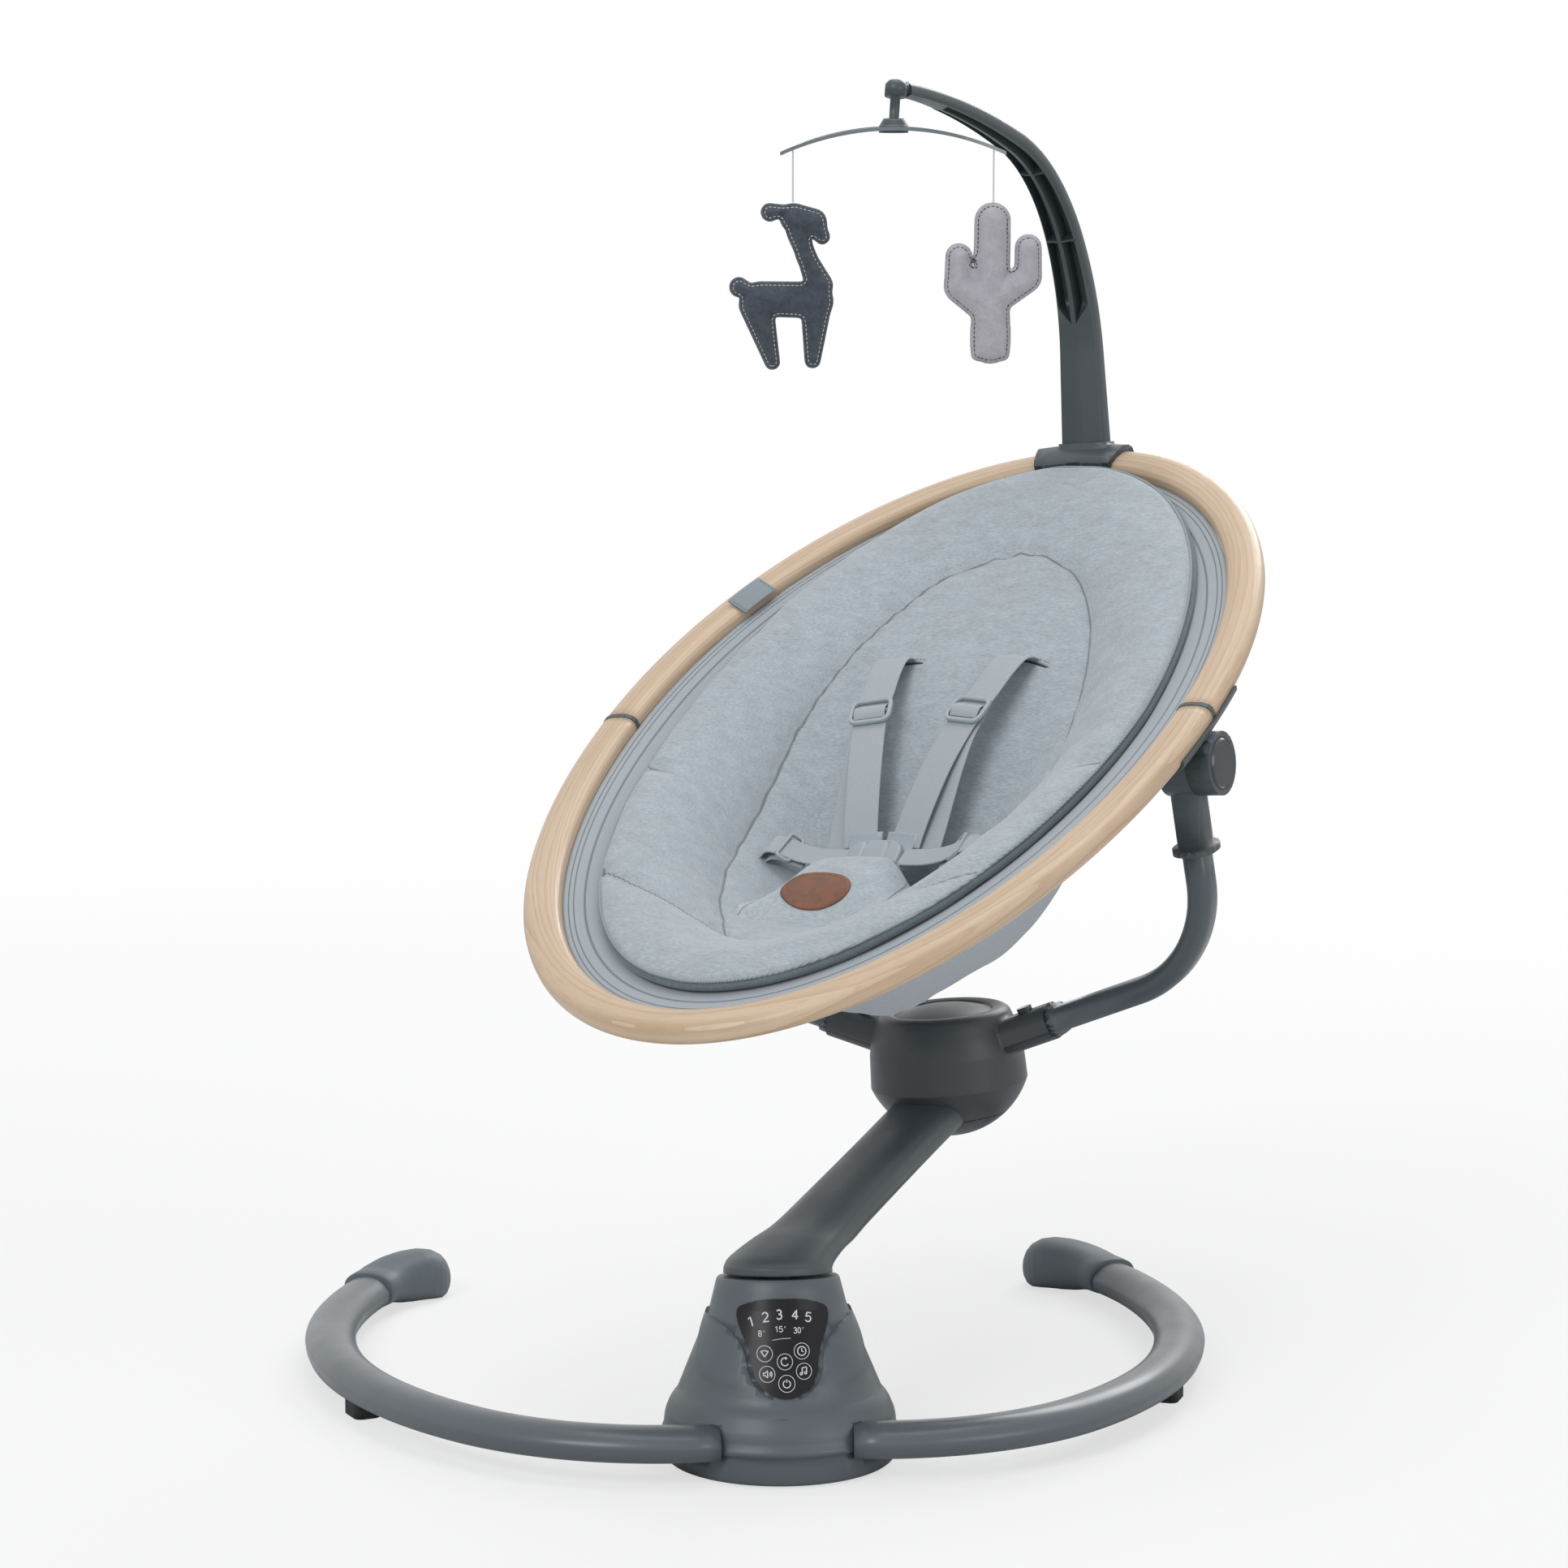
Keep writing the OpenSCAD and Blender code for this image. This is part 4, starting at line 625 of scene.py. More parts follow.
def leg_rows(side):
    h = math.radians(LEG_HEAD)
    start = (LEG_START[0] - LEG_SUNK * math.cos(h), LEG_START[1] - LEG_SUNK * math.sin(h))
    stations = [(start, LEG_HEAD)]
    for place, heading, radius, whole, first, count in (
            (LEG_START, LEG_HEAD, LEG_R1, LEG_TURN_1, 0, 26), (LEG_MID, MID_HEAD, LEG_R2, LEG_TURN_2, 1, 42)):
        for turn in (whole * i / count for i in range(first, count + 1)):
            stations.append((bend_end(place, heading, radius, turn), heading + turn))
    section = leg_section()
    return [[leg_point(side, place, heading, 25, u, v) for u, v in section] for place, heading in stations]

for side, word in SIDES:
    leg = keep(word + "_leg", skin(leg_rows(side)), LEG, "base", nodes=("leg_" + word,))
print("legs:", len(leg.data.vertices), "points each")

# %% [markdown]
# Soft boots close the legs. Each is a sleeve over the tube, which turns inwards and comes down
# to the floor in a rounded toe. Its rows follow the solid's stations through a smooth curve.

# %% Boots
BOOT = [(-2.95, 18.6, 38.6, 14.6), (-2.9, 19.4, 39.4, 13.6), (-1.5, 19.6, 39.6, 13.4), (0, 19.6, 39.6, 13.3),
        (10, 20, 41.5, 12), (20, 20.5, 43.5, 10), (32, 20.8, 45, 9), (44, 20.2, 45.5, 9), (53, 18.5, 44, 9),
        (60, 15, 40, 9.4), (64, 10.5, 35, 12), (66.2, 5.4, 29.5, 16.5), (67, 1.5, 25, 21)]
def boot_rows(side):
    table, rows = np.array(BOOT), []
    steps = np.concatenate([[0, 0.3, 1, 2], np.linspace(2.25, len(BOOT) - 1, 40)])
    for t in steps:
        k = min(int(t), len(BOOT) - 2)
        a, w, top, low = table[k] + (table[k + 1] - table[k]) * (t - k)
        place = bend_end(LEG_END, END_HEAD, LEG_R2 if a < 0 else BOOT_R, a)
        row = [leg_point(side, place, END_HEAD + a, (top + low) / 2, u, v)
               for u, v in superellipse(w, (top - low) / 2, 2.4, 32)]
        for p in row:
            p.z = max(0.0002, p.z)
        rows.append(row)
    return rows

for side, word in SIDES:
    bm = skin(boot_rows(side))
    bmesh.ops.smooth_vert(bm, verts=bm.verts, factor=0.3, use_axis_x=True, use_axis_y=True, use_axis_z=True)
    keep(word + "_boot", bm, CAP, "base", nodes=("leg_cap_" + word,))
print("boots made")

# %% [markdown]
# The ring is an oval hoop of beech with a softly squared section. It comes in two halves that
# meet at thin dark bands beside the pivots. A sweep with many stations keeps its edge round.

# %% Wooden ring
RING_A, RING_HEAD, RING_FOOT, RING_SHIFT = 221.0, 329.0, 361.0, 9.7
def ring_length(f):
    return RING_HEAD if math.sin(f) > 0 else RING_FOOT

def ring_row(f):
    centre = Vector((RING_A * math.cos(f), RING_SHIFT + ring_length(f) * math.sin(f), 0))
    out = Vector((ring_length(f) * math.cos(f), RING_A * math.sin(f), 0)).normalized()
    return [SEAT @ ((centre + out * u + Vector((0, 0, v))) / 1000)
            for u, v in superellipse(13, 8.4, 2.6, 32)]

def ring_angle(t):
    return math.asin((t - RING_SHIFT) / (RING_HEAD if t > RING_SHIFT else RING_FOOT))

BAND_GAP = 1.9      # half the width of the dark band between the halves
def ring_half(word, start, end, count):
    rows = [ring_row(start + (end - start) * i / count) for i in range(count + 1)]
    keep(word + "_ring_half", skin(rows), BEECH, "seat", nodes=("ring_" + word,))

f0, f1 = ring_angle(BAND_GAP), ring_angle(-BAND_GAP)
ring_half("upper", f0, math.pi - f0, 120)
ring_half("lower", math.pi - f1, 2 * math.pi + f1, 130)
print("ring halves made")

# %% [markdown]
# The cushion is a padded oval that hangs in the sling like a shallow bowl: a flat inner panel,
# a seam all round it, a fat bolster outside the seam, and a darker side wall below the edge.
# Its rows run from the middle of the top out to the edge, down the wall and back to the middle
# underneath. The heights are the solid's own, smoothed, then pushed by the padding.

# %% Heights of the seat
SHARES = [0.0, 0.06, 0.16, 0.27, 0.4, 0.53, 0.66, 0.78, 0.88, 0.96]
TOP = {"foot": [0, 0.015, 0.1, 0.27, 0.49, 0.68, 0.86, 1.0, 1.08, 1.1],
       "side": [0, 0.005, 0.03, 0.08, 0.21, 0.45, 0.7, 0.87, 0.96, 1.0],
       "head": [0, 0.12, 0.37, 0.63, 0.82, 0.91, 0.98, 1.05, 1.11, 1.14]}
HANG = {"foot": [1, 0.995, 0.958, 0.865, 0.69, 0.473, 0.259, 0.11, 0.035, 0.008],
        "side": [1, 0.998, 0.99, 0.965, 0.9, 0.765, 0.562, 0.341, 0.171, 0.072],
        "head": [1, 0.995, 0.968, 0.884, 0.711, 0.484, 0.251, 0.092, 0.022, 0.004]}

def smooth_table(table):
    slope = np.gradient(np.array(table), np.array(SHARES))
    def at(w):
        k = min(int(np.searchsorted(SHARES, w, side="right")) - 1, len(SHARES) - 2)
        a, b = SHARES[k], SHARES[k + 1]
        t = (min(w, SHARES[-1]) - a) / (b - a)
        h = b - a
        return ((2 * t ** 3 - 3 * t * t + 1) * table[k] + (t ** 3 - 2 * t * t + t) * h * slope[k]
                + (3 * t * t - 2 * t ** 3) * table[k + 1] + (t ** 3 - t * t) * h * slope[k + 1])
    return at

TOP_AT = {k: smooth_table(v) for k, v in TOP.items()}
HANG_AT = {k: smooth_table(v) for k, v in HANG.items()}
DEPTH, SEAT_DEPTH, DEEP, SLING_GAP = 152.0, 88.0, -88.0, 4.2
SIDE_INSET, FOOT_INSET, HEAD_INSET = 41.0, 37.0, 14.0

def shared(tables, f, w):
    s = abs(math.sin(f)) ** 1.15
    return tables["side"](w) * (1 - s) + tables["head" if math.sin(f) > 0 else "foot"](w) * s

def plan(f, w):
    inset = HEAD_INSET if math.sin(f) > 0 else FOOT_INSET
    return ((RING_A - SIDE_INSET) * w * math.cos(f),
            RING_SHIFT + (ring_length(f) - inset) * w * math.sin(f) + (DEEP - RING_SHIFT) * (1 - w))

def top_height(f, w):
    return SEAT_DEPTH * (shared(TOP_AT, f, w) - 1)

def sling_height(f, w):
    return -5 - DEPTH * shared(HANG_AT, f, w)

print("the cushion is", round(top_height(0, 0)), "mm deep, the sling", round(sling_height(0, 0)), "mm")

# %% Seams of the cushion
def loop_share(f):
    """Share of the outline where the inner panel's seam runs, the same on both sides."""
    a = abs(math.degrees(math.atan2(math.cos(f), math.sin(f))))
    return float(np.interp(a, [0, 24, 46, 79, 100, 125, 148, 162, 180],
                           [0.745, 0.725, 0.68, 0.60, 0.575, 0.57, 0.585, 0.64, 0.66]))

def plan_points(*way):
    return np.array([plan(math.radians(f), w) for f, w in way])

LOOP = np.array([plan(f, loop_share(f)) for f in np.linspace(0, 2 * math.pi, 241)])
BENT_CHANNEL = ((35, 1.02), (38, 0.96), (44, 0.86), (53, 0.74), (63, 0.665), (68, 0.63))
NOTCHES = [plan_points(*((180 + a, w) for a, w in BENT_CHANNEL)),
           plan_points(*((360 - a, w) for a, w in BENT_CHANNEL)),
           plan_points((349.5, 1.02), (349, 0.9)), plan_points((190.5, 1.02), (191, 0.9))]

def signed_gap(points, line):
    """Distance of each plan point from a line of points, with a sign for its side."""
    a, b = line[:-1], line[1:]
    d = b - a
    best, sign = np.full(len(points), 1e9), np.ones(len(points))
    for p, q, v in zip(a, b, d):
        t = np.clip(((points - p) @ v) / max(1e-9, v @ v), 0, 1)
        off = points - (p + t[:, None] * v)
        gap = np.hypot(off[:, 0], off[:, 1])
        better = gap < best
        best = np.where(better, gap, best)
        side = np.sign(v[0] * (points[:, 1] - p[1]) - v[1] * (points[:, 0] - p[0]))
        sign = np.where(better, np.where(side == 0, 1, side), sign)
    return best, sign

def channel_gap(points):
    """Signed distance of each plan point from the nearest of the short channels."""
    nearest = np.full(len(points), 99.0)
    for line in NOTCHES:
        gap, sign = signed_gap(points, line)
        nearest = np.where(gap < np.abs(nearest), gap * sign, nearest)
    return nearest

def wall_span(f):
    """Heights of the foot and the top of the cushion's side wall."""
    return sling_height(f, 0.96) + SLING_GAP, top_height(f, 0.96) - 1.2

print("seams laid out:", 1 + len(NOTCHES))

# %% Cushion
COLUMNS = 300
def in_seat(mesh):
    """The points of a mesh in the seat's frame, in millimetres."""
    back = SEAT.inverted()
    return np.array([tuple(back @ v.co) for v in mesh.vertices]) * 1000

def cushion():
    angles = [2 * math.pi * j / COLUMNS for j in range(COLUMNS)]
    shares = list(np.linspace(0, 0.9, 92)) + [0.915, 0.93, 0.943, 0.954, 0.963, 0.971, 0.978]
    rows, kinds = [], []
    for w in shares:
        rows.append([(*plan(f, w), top_height(f, w) - 26.0 * max(0, w - 0.945)) for f in angles])
        kinds.append(w)
    spans = [wall_span(f) for f in angles]
    for w, share in ((0.985, 0.90), (0.9875, 0.86), (0.985, 0.82), (0.996, 0.68), (1.0, 0.5),
                     (0.999, 0.34), (0.992, 0.16), (0.975, 0.03)):
        rows.append([(*plan(f, w), low + (high - low) * share) for f, (low, high) in zip(angles, spans)])
        kinds.append(w + 1)
    for w in (0.94, 0.88, 0.8, 0.7, 0.58, 0.45, 0.3, 0.15, 0.0):
        rows.append([(*plan(f, w), max(sling_height(f, w) + SLING_GAP, top_height(f, w) - 45))
                     for f in angles])
        kinds.append(3)
    flat = np.array(rows).reshape(-1, 3)
    kind = np.repeat(kinds, COLUMNS)
    share_of = np.where(kind < 1, kind, 1)
    angle_of = np.tile(angles, len(rows))
    seam_at = np.tile([loop_share(f) for f in angles], len(rows))
    seam, _ = signed_gap(flat[:, :2], LOOP)
    inner, on_top = share_of < seam_at, kind < 1
    channel = channel_gap(flat[:, :2])
    bolster = np.clip((share_of - seam_at) / (1 - seam_at), 0, 1)
    puff = 4.5 * np.sin(math.pi * bolster) ** 0.8 * (~inner) * on_top
    groove = 5.0 * np.exp(-seam / 9.0) + 1.6 * np.exp(-seam / 2.4)
    tuck = 3.6 * np.exp(-np.abs(channel) / 10.0) + 1.5 * np.exp(-np.abs(channel) / 2.5)
    wave = np.array([noise.noise(Vector((p[0] * 0.03, p[1] * 0.03, 3.0))) for p in flat])
    pull = np.array([noise.noise(Vector((math.cos(a) * 16, math.sin(a) * 16, 0.4 * k)))
                     for a, k in zip(angle_of, share_of * 6)])
    flat[:, 2] += on_top * (puff - groove - tuck + 1.6 * wave - 0.6
                            + 2.6 * pull * np.exp(-seam / 16.0) * (~inner)
                            + 1.2 * pull * np.exp(-seam / 12.0) * inner)
    flat[:, 2] += ((kind > 1) & (kind < 3)) * 0.8 * wave
    table = [[seat_point(*p) for p in row] for row in flat.reshape(len(rows), COLUMNS, 3)]
    piece = keep("seat_cushion", skin(table, caps=False), [KNIT, WALL], "seat",
                 nodes=("seat_insert",))
    mesh = piece.data
    local = in_seat(mesh)
    gap, sign = signed_gap(local[:, :2], LOOP)
    carry(mesh, "seam", gap * sign / 1000)
    carry(mesh, "channel", channel_gap(local[:, :2]) / 1000)
    for face in mesh.polygons:
        p = SEAT.inverted() @ face.center * 1000
        length = RING_FOOT - FOOT_INSET if p.y < RING_SHIFT else RING_HEAD - HEAD_INSET
        u, v = p.x / (RING_A - SIDE_INSET), (p.y - RING_SHIFT) / length
        low, high = wall_span(math.atan2(v, u))
        on_wall = math.hypot(u, v) > 0.984 and p.z < low + (high - low) * 0.87
        if on_wall or face.normal.dot(SEAT_UP) < -0.2:
            face.material_index = 1
    return piece

cushion_piece = cushion()
print("cushion:", len(cushion_piece.data.vertices), "points")

# %% [markdown]
# A fine piping covers the cushion's edge where the knit meets the darker side wall. It is a
# thin tube swept round the outline, a little wavy as sewn piping is.

# %% Piping of the cushion
def edge_line(w, share, count=220):
    out = []
    for f in (2 * math.pi * j / count for j in range(count)):
        low, high = wall_span(f)
        wobble = 0.5 * noise.noise(Vector((math.cos(f) * 9, math.sin(f) * 9, 1)))
        out.append(seat_point(*plan(f, w), low + (high - low) * share + wobble))
    return out

piping = skin(sweep(edge_line(0.9895, 0.86), superellipse(0.0009, 0.0009, 2, 8), SEAT_UP, closed=True),
              caps=False)
keep("cushion_piping", piping, BINDING, "seat")
print("piping made")

# %% [markdown]
# The sling is the fabric shell that hangs in the ring and carries the cushion. Outside it bags under the
# weight, with soft folds, and inside its flat rim shows between cushion and ring, with a bound edge and rows
# of stitching, drawn as pressed-in lines darkened with painted shade. It is one shell, some three millimetres
# thick.

# %% Sling
def sling():
    angles = [2 * math.pi * j / 220 for j in range(220)]
    def at_ring(f):
        inset = 13.3
        return (RING_A - inset) * math.cos(f), RING_SHIFT + (ring_length(f) - inset) * math.sin(f)
    def plan_rim(f, t, lift=0.0):
        """From the bowl's edge (t = 0) out over the flat rim to the ring (t = 1)."""
        (x0, y0), (x1, y1) = plan(f, 0.96), at_ring(f)
        z0, z1 = sling_height(f, 0.96), -4.6
        return (x0 + (x1 - x0) * t, y0 + (y1 - y0) * t, z0 + (z1 - z0) * (t ** 0.8) + lift)
    def fold(f, w, x, y):
        """Long soft folds that run down from the rim, and smaller ones at the bottom."""
        long = noise.noise(Vector((math.cos(f) * 5, math.sin(f) * 5, w * 1.4)))
        small = noise.noise(Vector((x * 0.022, y * 0.013, 7.0)))
        ridge = abs(noise.noise(Vector((x * 0.012 + 4, y * 0.02, 2.0))))
        depth = min(1.0, w / 0.25) * (1 - w) ** 0.5
        return (3.2 * long + 3.0 * small + 4.0 * (0.25 - ridge)) * depth
    thick, outer, inner = 2.9, [], []
    for w in np.linspace(0, 0.96, 62):
        places = [(f, *plan(f, w), sling_height(f, w)) for f in angles]
        outer.append([(x, y, z - max(-1.0, fold(f, w, x, y)) - 0.4) for f, x, y, z in places])
        inner.append([(x, y, z + thick) for _, x, y, z in places])
    for t in (0.25, 0.5, 0.75, 0.92, 1.0):
        outer.append([plan_rim(f, t) for f in angles])
        inner.append([plan_rim(f, t, thick + 0.9 * math.sin(math.pi * t)) for f in angles])
    table = [[seat_point(*p) for p in row] for row in outer + inner[::-1]]
    piece = keep("seat_sling_cloth", skin(table, caps=False), TWILL, "seat",
                 nodes=("seat_sling",))
    ring = np.array([at_ring(f) for f in np.linspace(0, 2 * math.pi, 301)])
    gap, _ = signed_gap(in_seat(piece.data)[:, :2], ring)
    for name, at in (("hem_1", 4.0), ("hem_2", 7.5), ("hem_3", 15.0)):
        carry(piece.data, name, (gap - at) / 1000)
    return piece

sling_piece = sling()

# %% [markdown]
# The harness is flat webbing, and webbing hardly stretches, so each strap is one section swept
# along a smooth line. The places where straps meet the cushion are found by a ray that drops
# onto the cushion's own mesh, so slots and lips lie on the cloth and don't float.

# %% Resting on the cushion
cushion_tree = tree_of(cushion_piece.data)
def lie_on(tree, x, y, lift=0.0, fallback=-60.0):
    """The point of a mesh under (x, y) of the seat's frame, raised by lift in millimetres."""
    hit = tree.ray_cast(seat_point(x, y, 90), -SEAT_UP)[0]
    if hit is None:
        return seat_point(x, y, fallback + lift)
    return hit + SEAT_UP * lift / 1000

def seat_height(tree, x, y):
    return (SEAT.inverted() @ lie_on(tree, x, y)).z * 1000

print("cushion under the slots:", round(seat_height(cushion_tree, 48, 97), 1), "mm")

# %% Straps
def flat_section(width, thick, power=5, count=20):
    """A flat section that starts in the middle of its underside, so the map is centred on top."""
    outline = superellipse(width / 2000, thick / 2000, power, count)
    return outline[3 * count // 4:] + outline[:3 * count // 4]

def strap(name, side, points, width, thick, nodes=(), count=70):
    """Webbing along points of the seat's frame, mirrored when side is -1."""
    path = curve_through([seat_point(side * x, y, z) for x, y, z in points], count)
    keep(name, skin(sweep(path, flat_section(width, thick), SEAT_UP)), WEBBING, "seat",
         nodes=nodes)

SHOULDER = [(49.5, 108, -28), (48.3, 99.5, -15), (47, 88, -6.8), (44.6, 70, -6), (41.5, 50, -8.6),
            (37.8, 27, -11.6), (33, 6, -17.5), (27.5, -18, -27), (22.5, -42, -39.5), (18.8, -60, -50.5),
            (17, -69, -57)]
BEHIND = [(37.8, 31, -14.4), (37.6, 20, -15.6), (36, 4, -20.5), (34.5, -16, -30), (33, -38, -42.5),
          (32, -58, -53.5), (31, -74, -62)]
WRAP = [(36.2, 20.2, -11.2), (36.9, 23.6, -8.2), (37.5, 27.2, -7.2), (38.2, 30.8, -8.2), (38.9, 34.2, -11.2)]
for side, word in SIDES:
    name = "shoulder_strap_" + word
    strap(name + "_web", side, SHOULDER, 24.5, 1.5, nodes=(name,))
    strap(name + "_return", side, BEHIND, 24, 1.4)
    strap("slider_" + word + "_wrap", side, WRAP, 23, 1.4, count=24)
print("shoulder straps doubled below their sliders")

# %% [markdown]
# Each strap comes out of a slot in the cushion: a short curved cut whose upper lip is turned in and stitched.
# The lip is a thin roll of the same knit, and below it a dark sliver is painted shadow, standing for the
# shade inside the cut.

# %% Slots in the cushion
def slot_line(side, t, drop=0.0):
    """Along the slot, t from -1 to 1, in millimetres of the seat's frame."""
    return (side * (48.5 + 19.5 * t), 99.5 - 4.2 * t * t - 1.5 * t - drop)

for side, word in SIDES:
    steps = np.linspace(-1, 1, 29)
    lip = [lie_on(cushion_tree, *slot_line(side, t), 0.2 + 0.9 * math.cos(t * 1.5)) for t in steps]
    thick = lambda s: superellipse(*([0.0006 + 0.0009 * math.sin(math.pi * s)] * 2), 2, 10)
    keep("slot_" + word + "_lip", skin(sweep(lip, thick, SEAT_UP)), BINDING, "seat")
    rows = []
    for t in steps:
        wide = 0.4 + 2.6 * math.sqrt(max(0.0, 1 - t * t))
        top = [lie_on(cushion_tree, *slot_line(side, t, d), 0.35) for d in (0.2, wide)]
        low = [lie_on(cushion_tree, *slot_line(side, t, d), -0.5) for d in (wide, 0.2)]
        rows.append(top + low)
    # painted shadow: a thin dark sheet in the slot's opening stands for the shade inside the cut
    keep("slot_" + word + "_painted_shadow", skin(rows), DARK_THREAD_AND_SLOT_SHADOW, "seat")
    row = [lie_on(cushion_tree, *slot_line(side, t, -3.2), 0.15) for t in np.linspace(-1.02, 1.02, 40)]
    stitches("slot_" + word + "_stitches", row, GREY_THREAD, "seat")
print("two slots with turned lips")

# %% [markdown]
# A slider is a rounded frame with a bar across its middle. The frame is a closed loop of a
# rounded rectangle with a nearly square section, and the bar is a short rod that runs into it.

# %% Sliders and side adjusters
def rounded_loop(width, height, radius, per_corner=7):
    loop = []
    for cx, cy, start in ((1, 1, 0), (-1, 1, 90), (-1, -1, 180), (1, -1, 270)):
        for k in range(per_corner):
            a = math.radians(start + 90 * k / (per_corner - 1))
            loop.append((cx * (width / 2 - radius) + radius * math.cos(a),
                         cy * (height / 2 - radius) + radius * math.sin(a)))
    return loop

def frame_ring(name, place, width, height, radius, bar, thick, nodes=(), rod=True):
    """place turns a point (x, y, z) of the frame's own plane, in millimetres, into a place."""
    path = [place(x, y, 0) for x, y in rounded_loop(width - bar, height - bar, radius)]
    up = (place(0, 0, 1) - place(0, 0, 0)).normalized()
    bm = skin(sweep(path, superellipse(bar / 2000, thick / 2000, 3.2, 16), up, closed=True), caps=False)
    if rod:
        reach = width / 2 - bar * 0.7
        middle = [place(x, 0.0, -0.4) for x in np.linspace(-reach, reach, 6)]
        take_in(bm, skin(sweep(middle, superellipse(0.0016, 0.0011, 2.6, 12), up)))
    keep(name, bm, BUCKLE, "seat", nodes=nodes)

def placed(centre, turns):
    """A frame's own place on the seat: a centre in millimetres and turns about x, y and z."""
    x, y, z = (math.radians(a) for a in turns)
    own = Matrix.Rotation(z, 4, "Z") @ Matrix.Rotation(y, 4, "Y") @ Matrix.Rotation(x, 4, "X")
    return lambda a, b, c: seat_point(*(Vector(centre) + own @ Vector((a, b, c))))

WAIST = [(x, -82 + 0.02 * x, z) for x, z in
         ((20, -56.4), (30, -56.8), (42, -56.4), (54, -54.0), (62, -50.6), (70, -47.0), (78, -46.5),
          (88, -55))]
WAIST_FOLD = [(x, -82, z) for x, z in ((52, -58.6), (60, -55.2), (68, -51.6), (76, -51.6), (84, -57))]
for side, word in SIDES:
    frame_ring("slider_" + word, placed((side * 37.5, 27, -9.4), (11, 0, -side * 11.7)),
               31, 24, 5.0, 3.3, 3.3, nodes=("strap_sliders",))
    frame_ring("side_adjuster_" + word, placed((side * 64, -80, -49.5), (0, -side * 40, side * 4)),
               12.5, 27, 2.8, 2.6, 3.0, rod=False)
    strap("waist_strap_" + word, side, WAIST, 19, 1.6, nodes=("waist_straps",), count=60)
    strap("waist_strap_" + word + "_fold", side, WAIST_FOLD, 18.4, 1.4, count=36)
print("sliders, adjusters and waist straps")

# %% [markdown]
# The buckle joins everything in the middle: a soft cornered body with a U shaped groove, and
# two flat tongues that carry the shoulder straps. Its top is a skin whose rings shrink to the
# middle, pressed in along the groove, so the groove is real and catches the light.

# %% Buckle
def groove_gap(x, y):
    """Distance from the U shaped groove, in millimetres."""
    if y > -2:
        return abs(abs(x) - 8.5)
    return abs(math.hypot(x, y + 2) - 8.5)

def buckle():
    here = placed((0, -82, -62), (14, 0, 0))
    count, rows = 72, []
    outline = superellipse(20, 15, 3.4, count)
    for grow, z in ((0.93, 0.0), (0.985, 0.6), (1, 1.6), (1, 6.6), (0.99, 7.8), (0.965, 8.6), (0.93, 9.0)):
        rows.append([here(x * grow, y * grow, z) for x, y in outline])
    for share in np.linspace(0.9, 0.0, 26):
        row = []
        for x, y in outline:
            a, b = x * share, y * share
            crown = 0.7 * (1 - share * share)
            press = 1.1 * math.exp(-(groove_gap(a, b) / 0.85) ** 4) if b > -13 and b < 12 else 0.0
            row.append(here(a, b, 9.0 + crown - press))
        rows.append(row)
    return keep("harness_buckle_body", skin(rows, caps=False), BUCKLE, "seat",
                nodes=("harness_buckle",))

buckle_piece = buckle()
closing = bmesh.new()
closing.from_mesh(buckle_piece.data)
bmesh.ops.holes_fill(closing, edges=[e for e in closing.edges if e.is_boundary], sides=0)
closing.to_mesh(buckle_piece.data)
closing.free()
for side, word in SIDES:
    tongue = placed((side * 13.5, -66.5, -55.2), (26, 0, -side * 9))
    path = [tongue(0, y, 0.02 * y * y) for y in np.linspace(-8, 7, 14)]
    wide = lambda s: superellipse(0.0125 - 0.0018 * (1 - s) ** 2, 0.0016, 4, 20)
    keep("buckle_tongue_" + word, skin(sweep(path, wide, SEAT_UP)), BUCKLE, "seat")
print("buckle with its groove and two tongues")
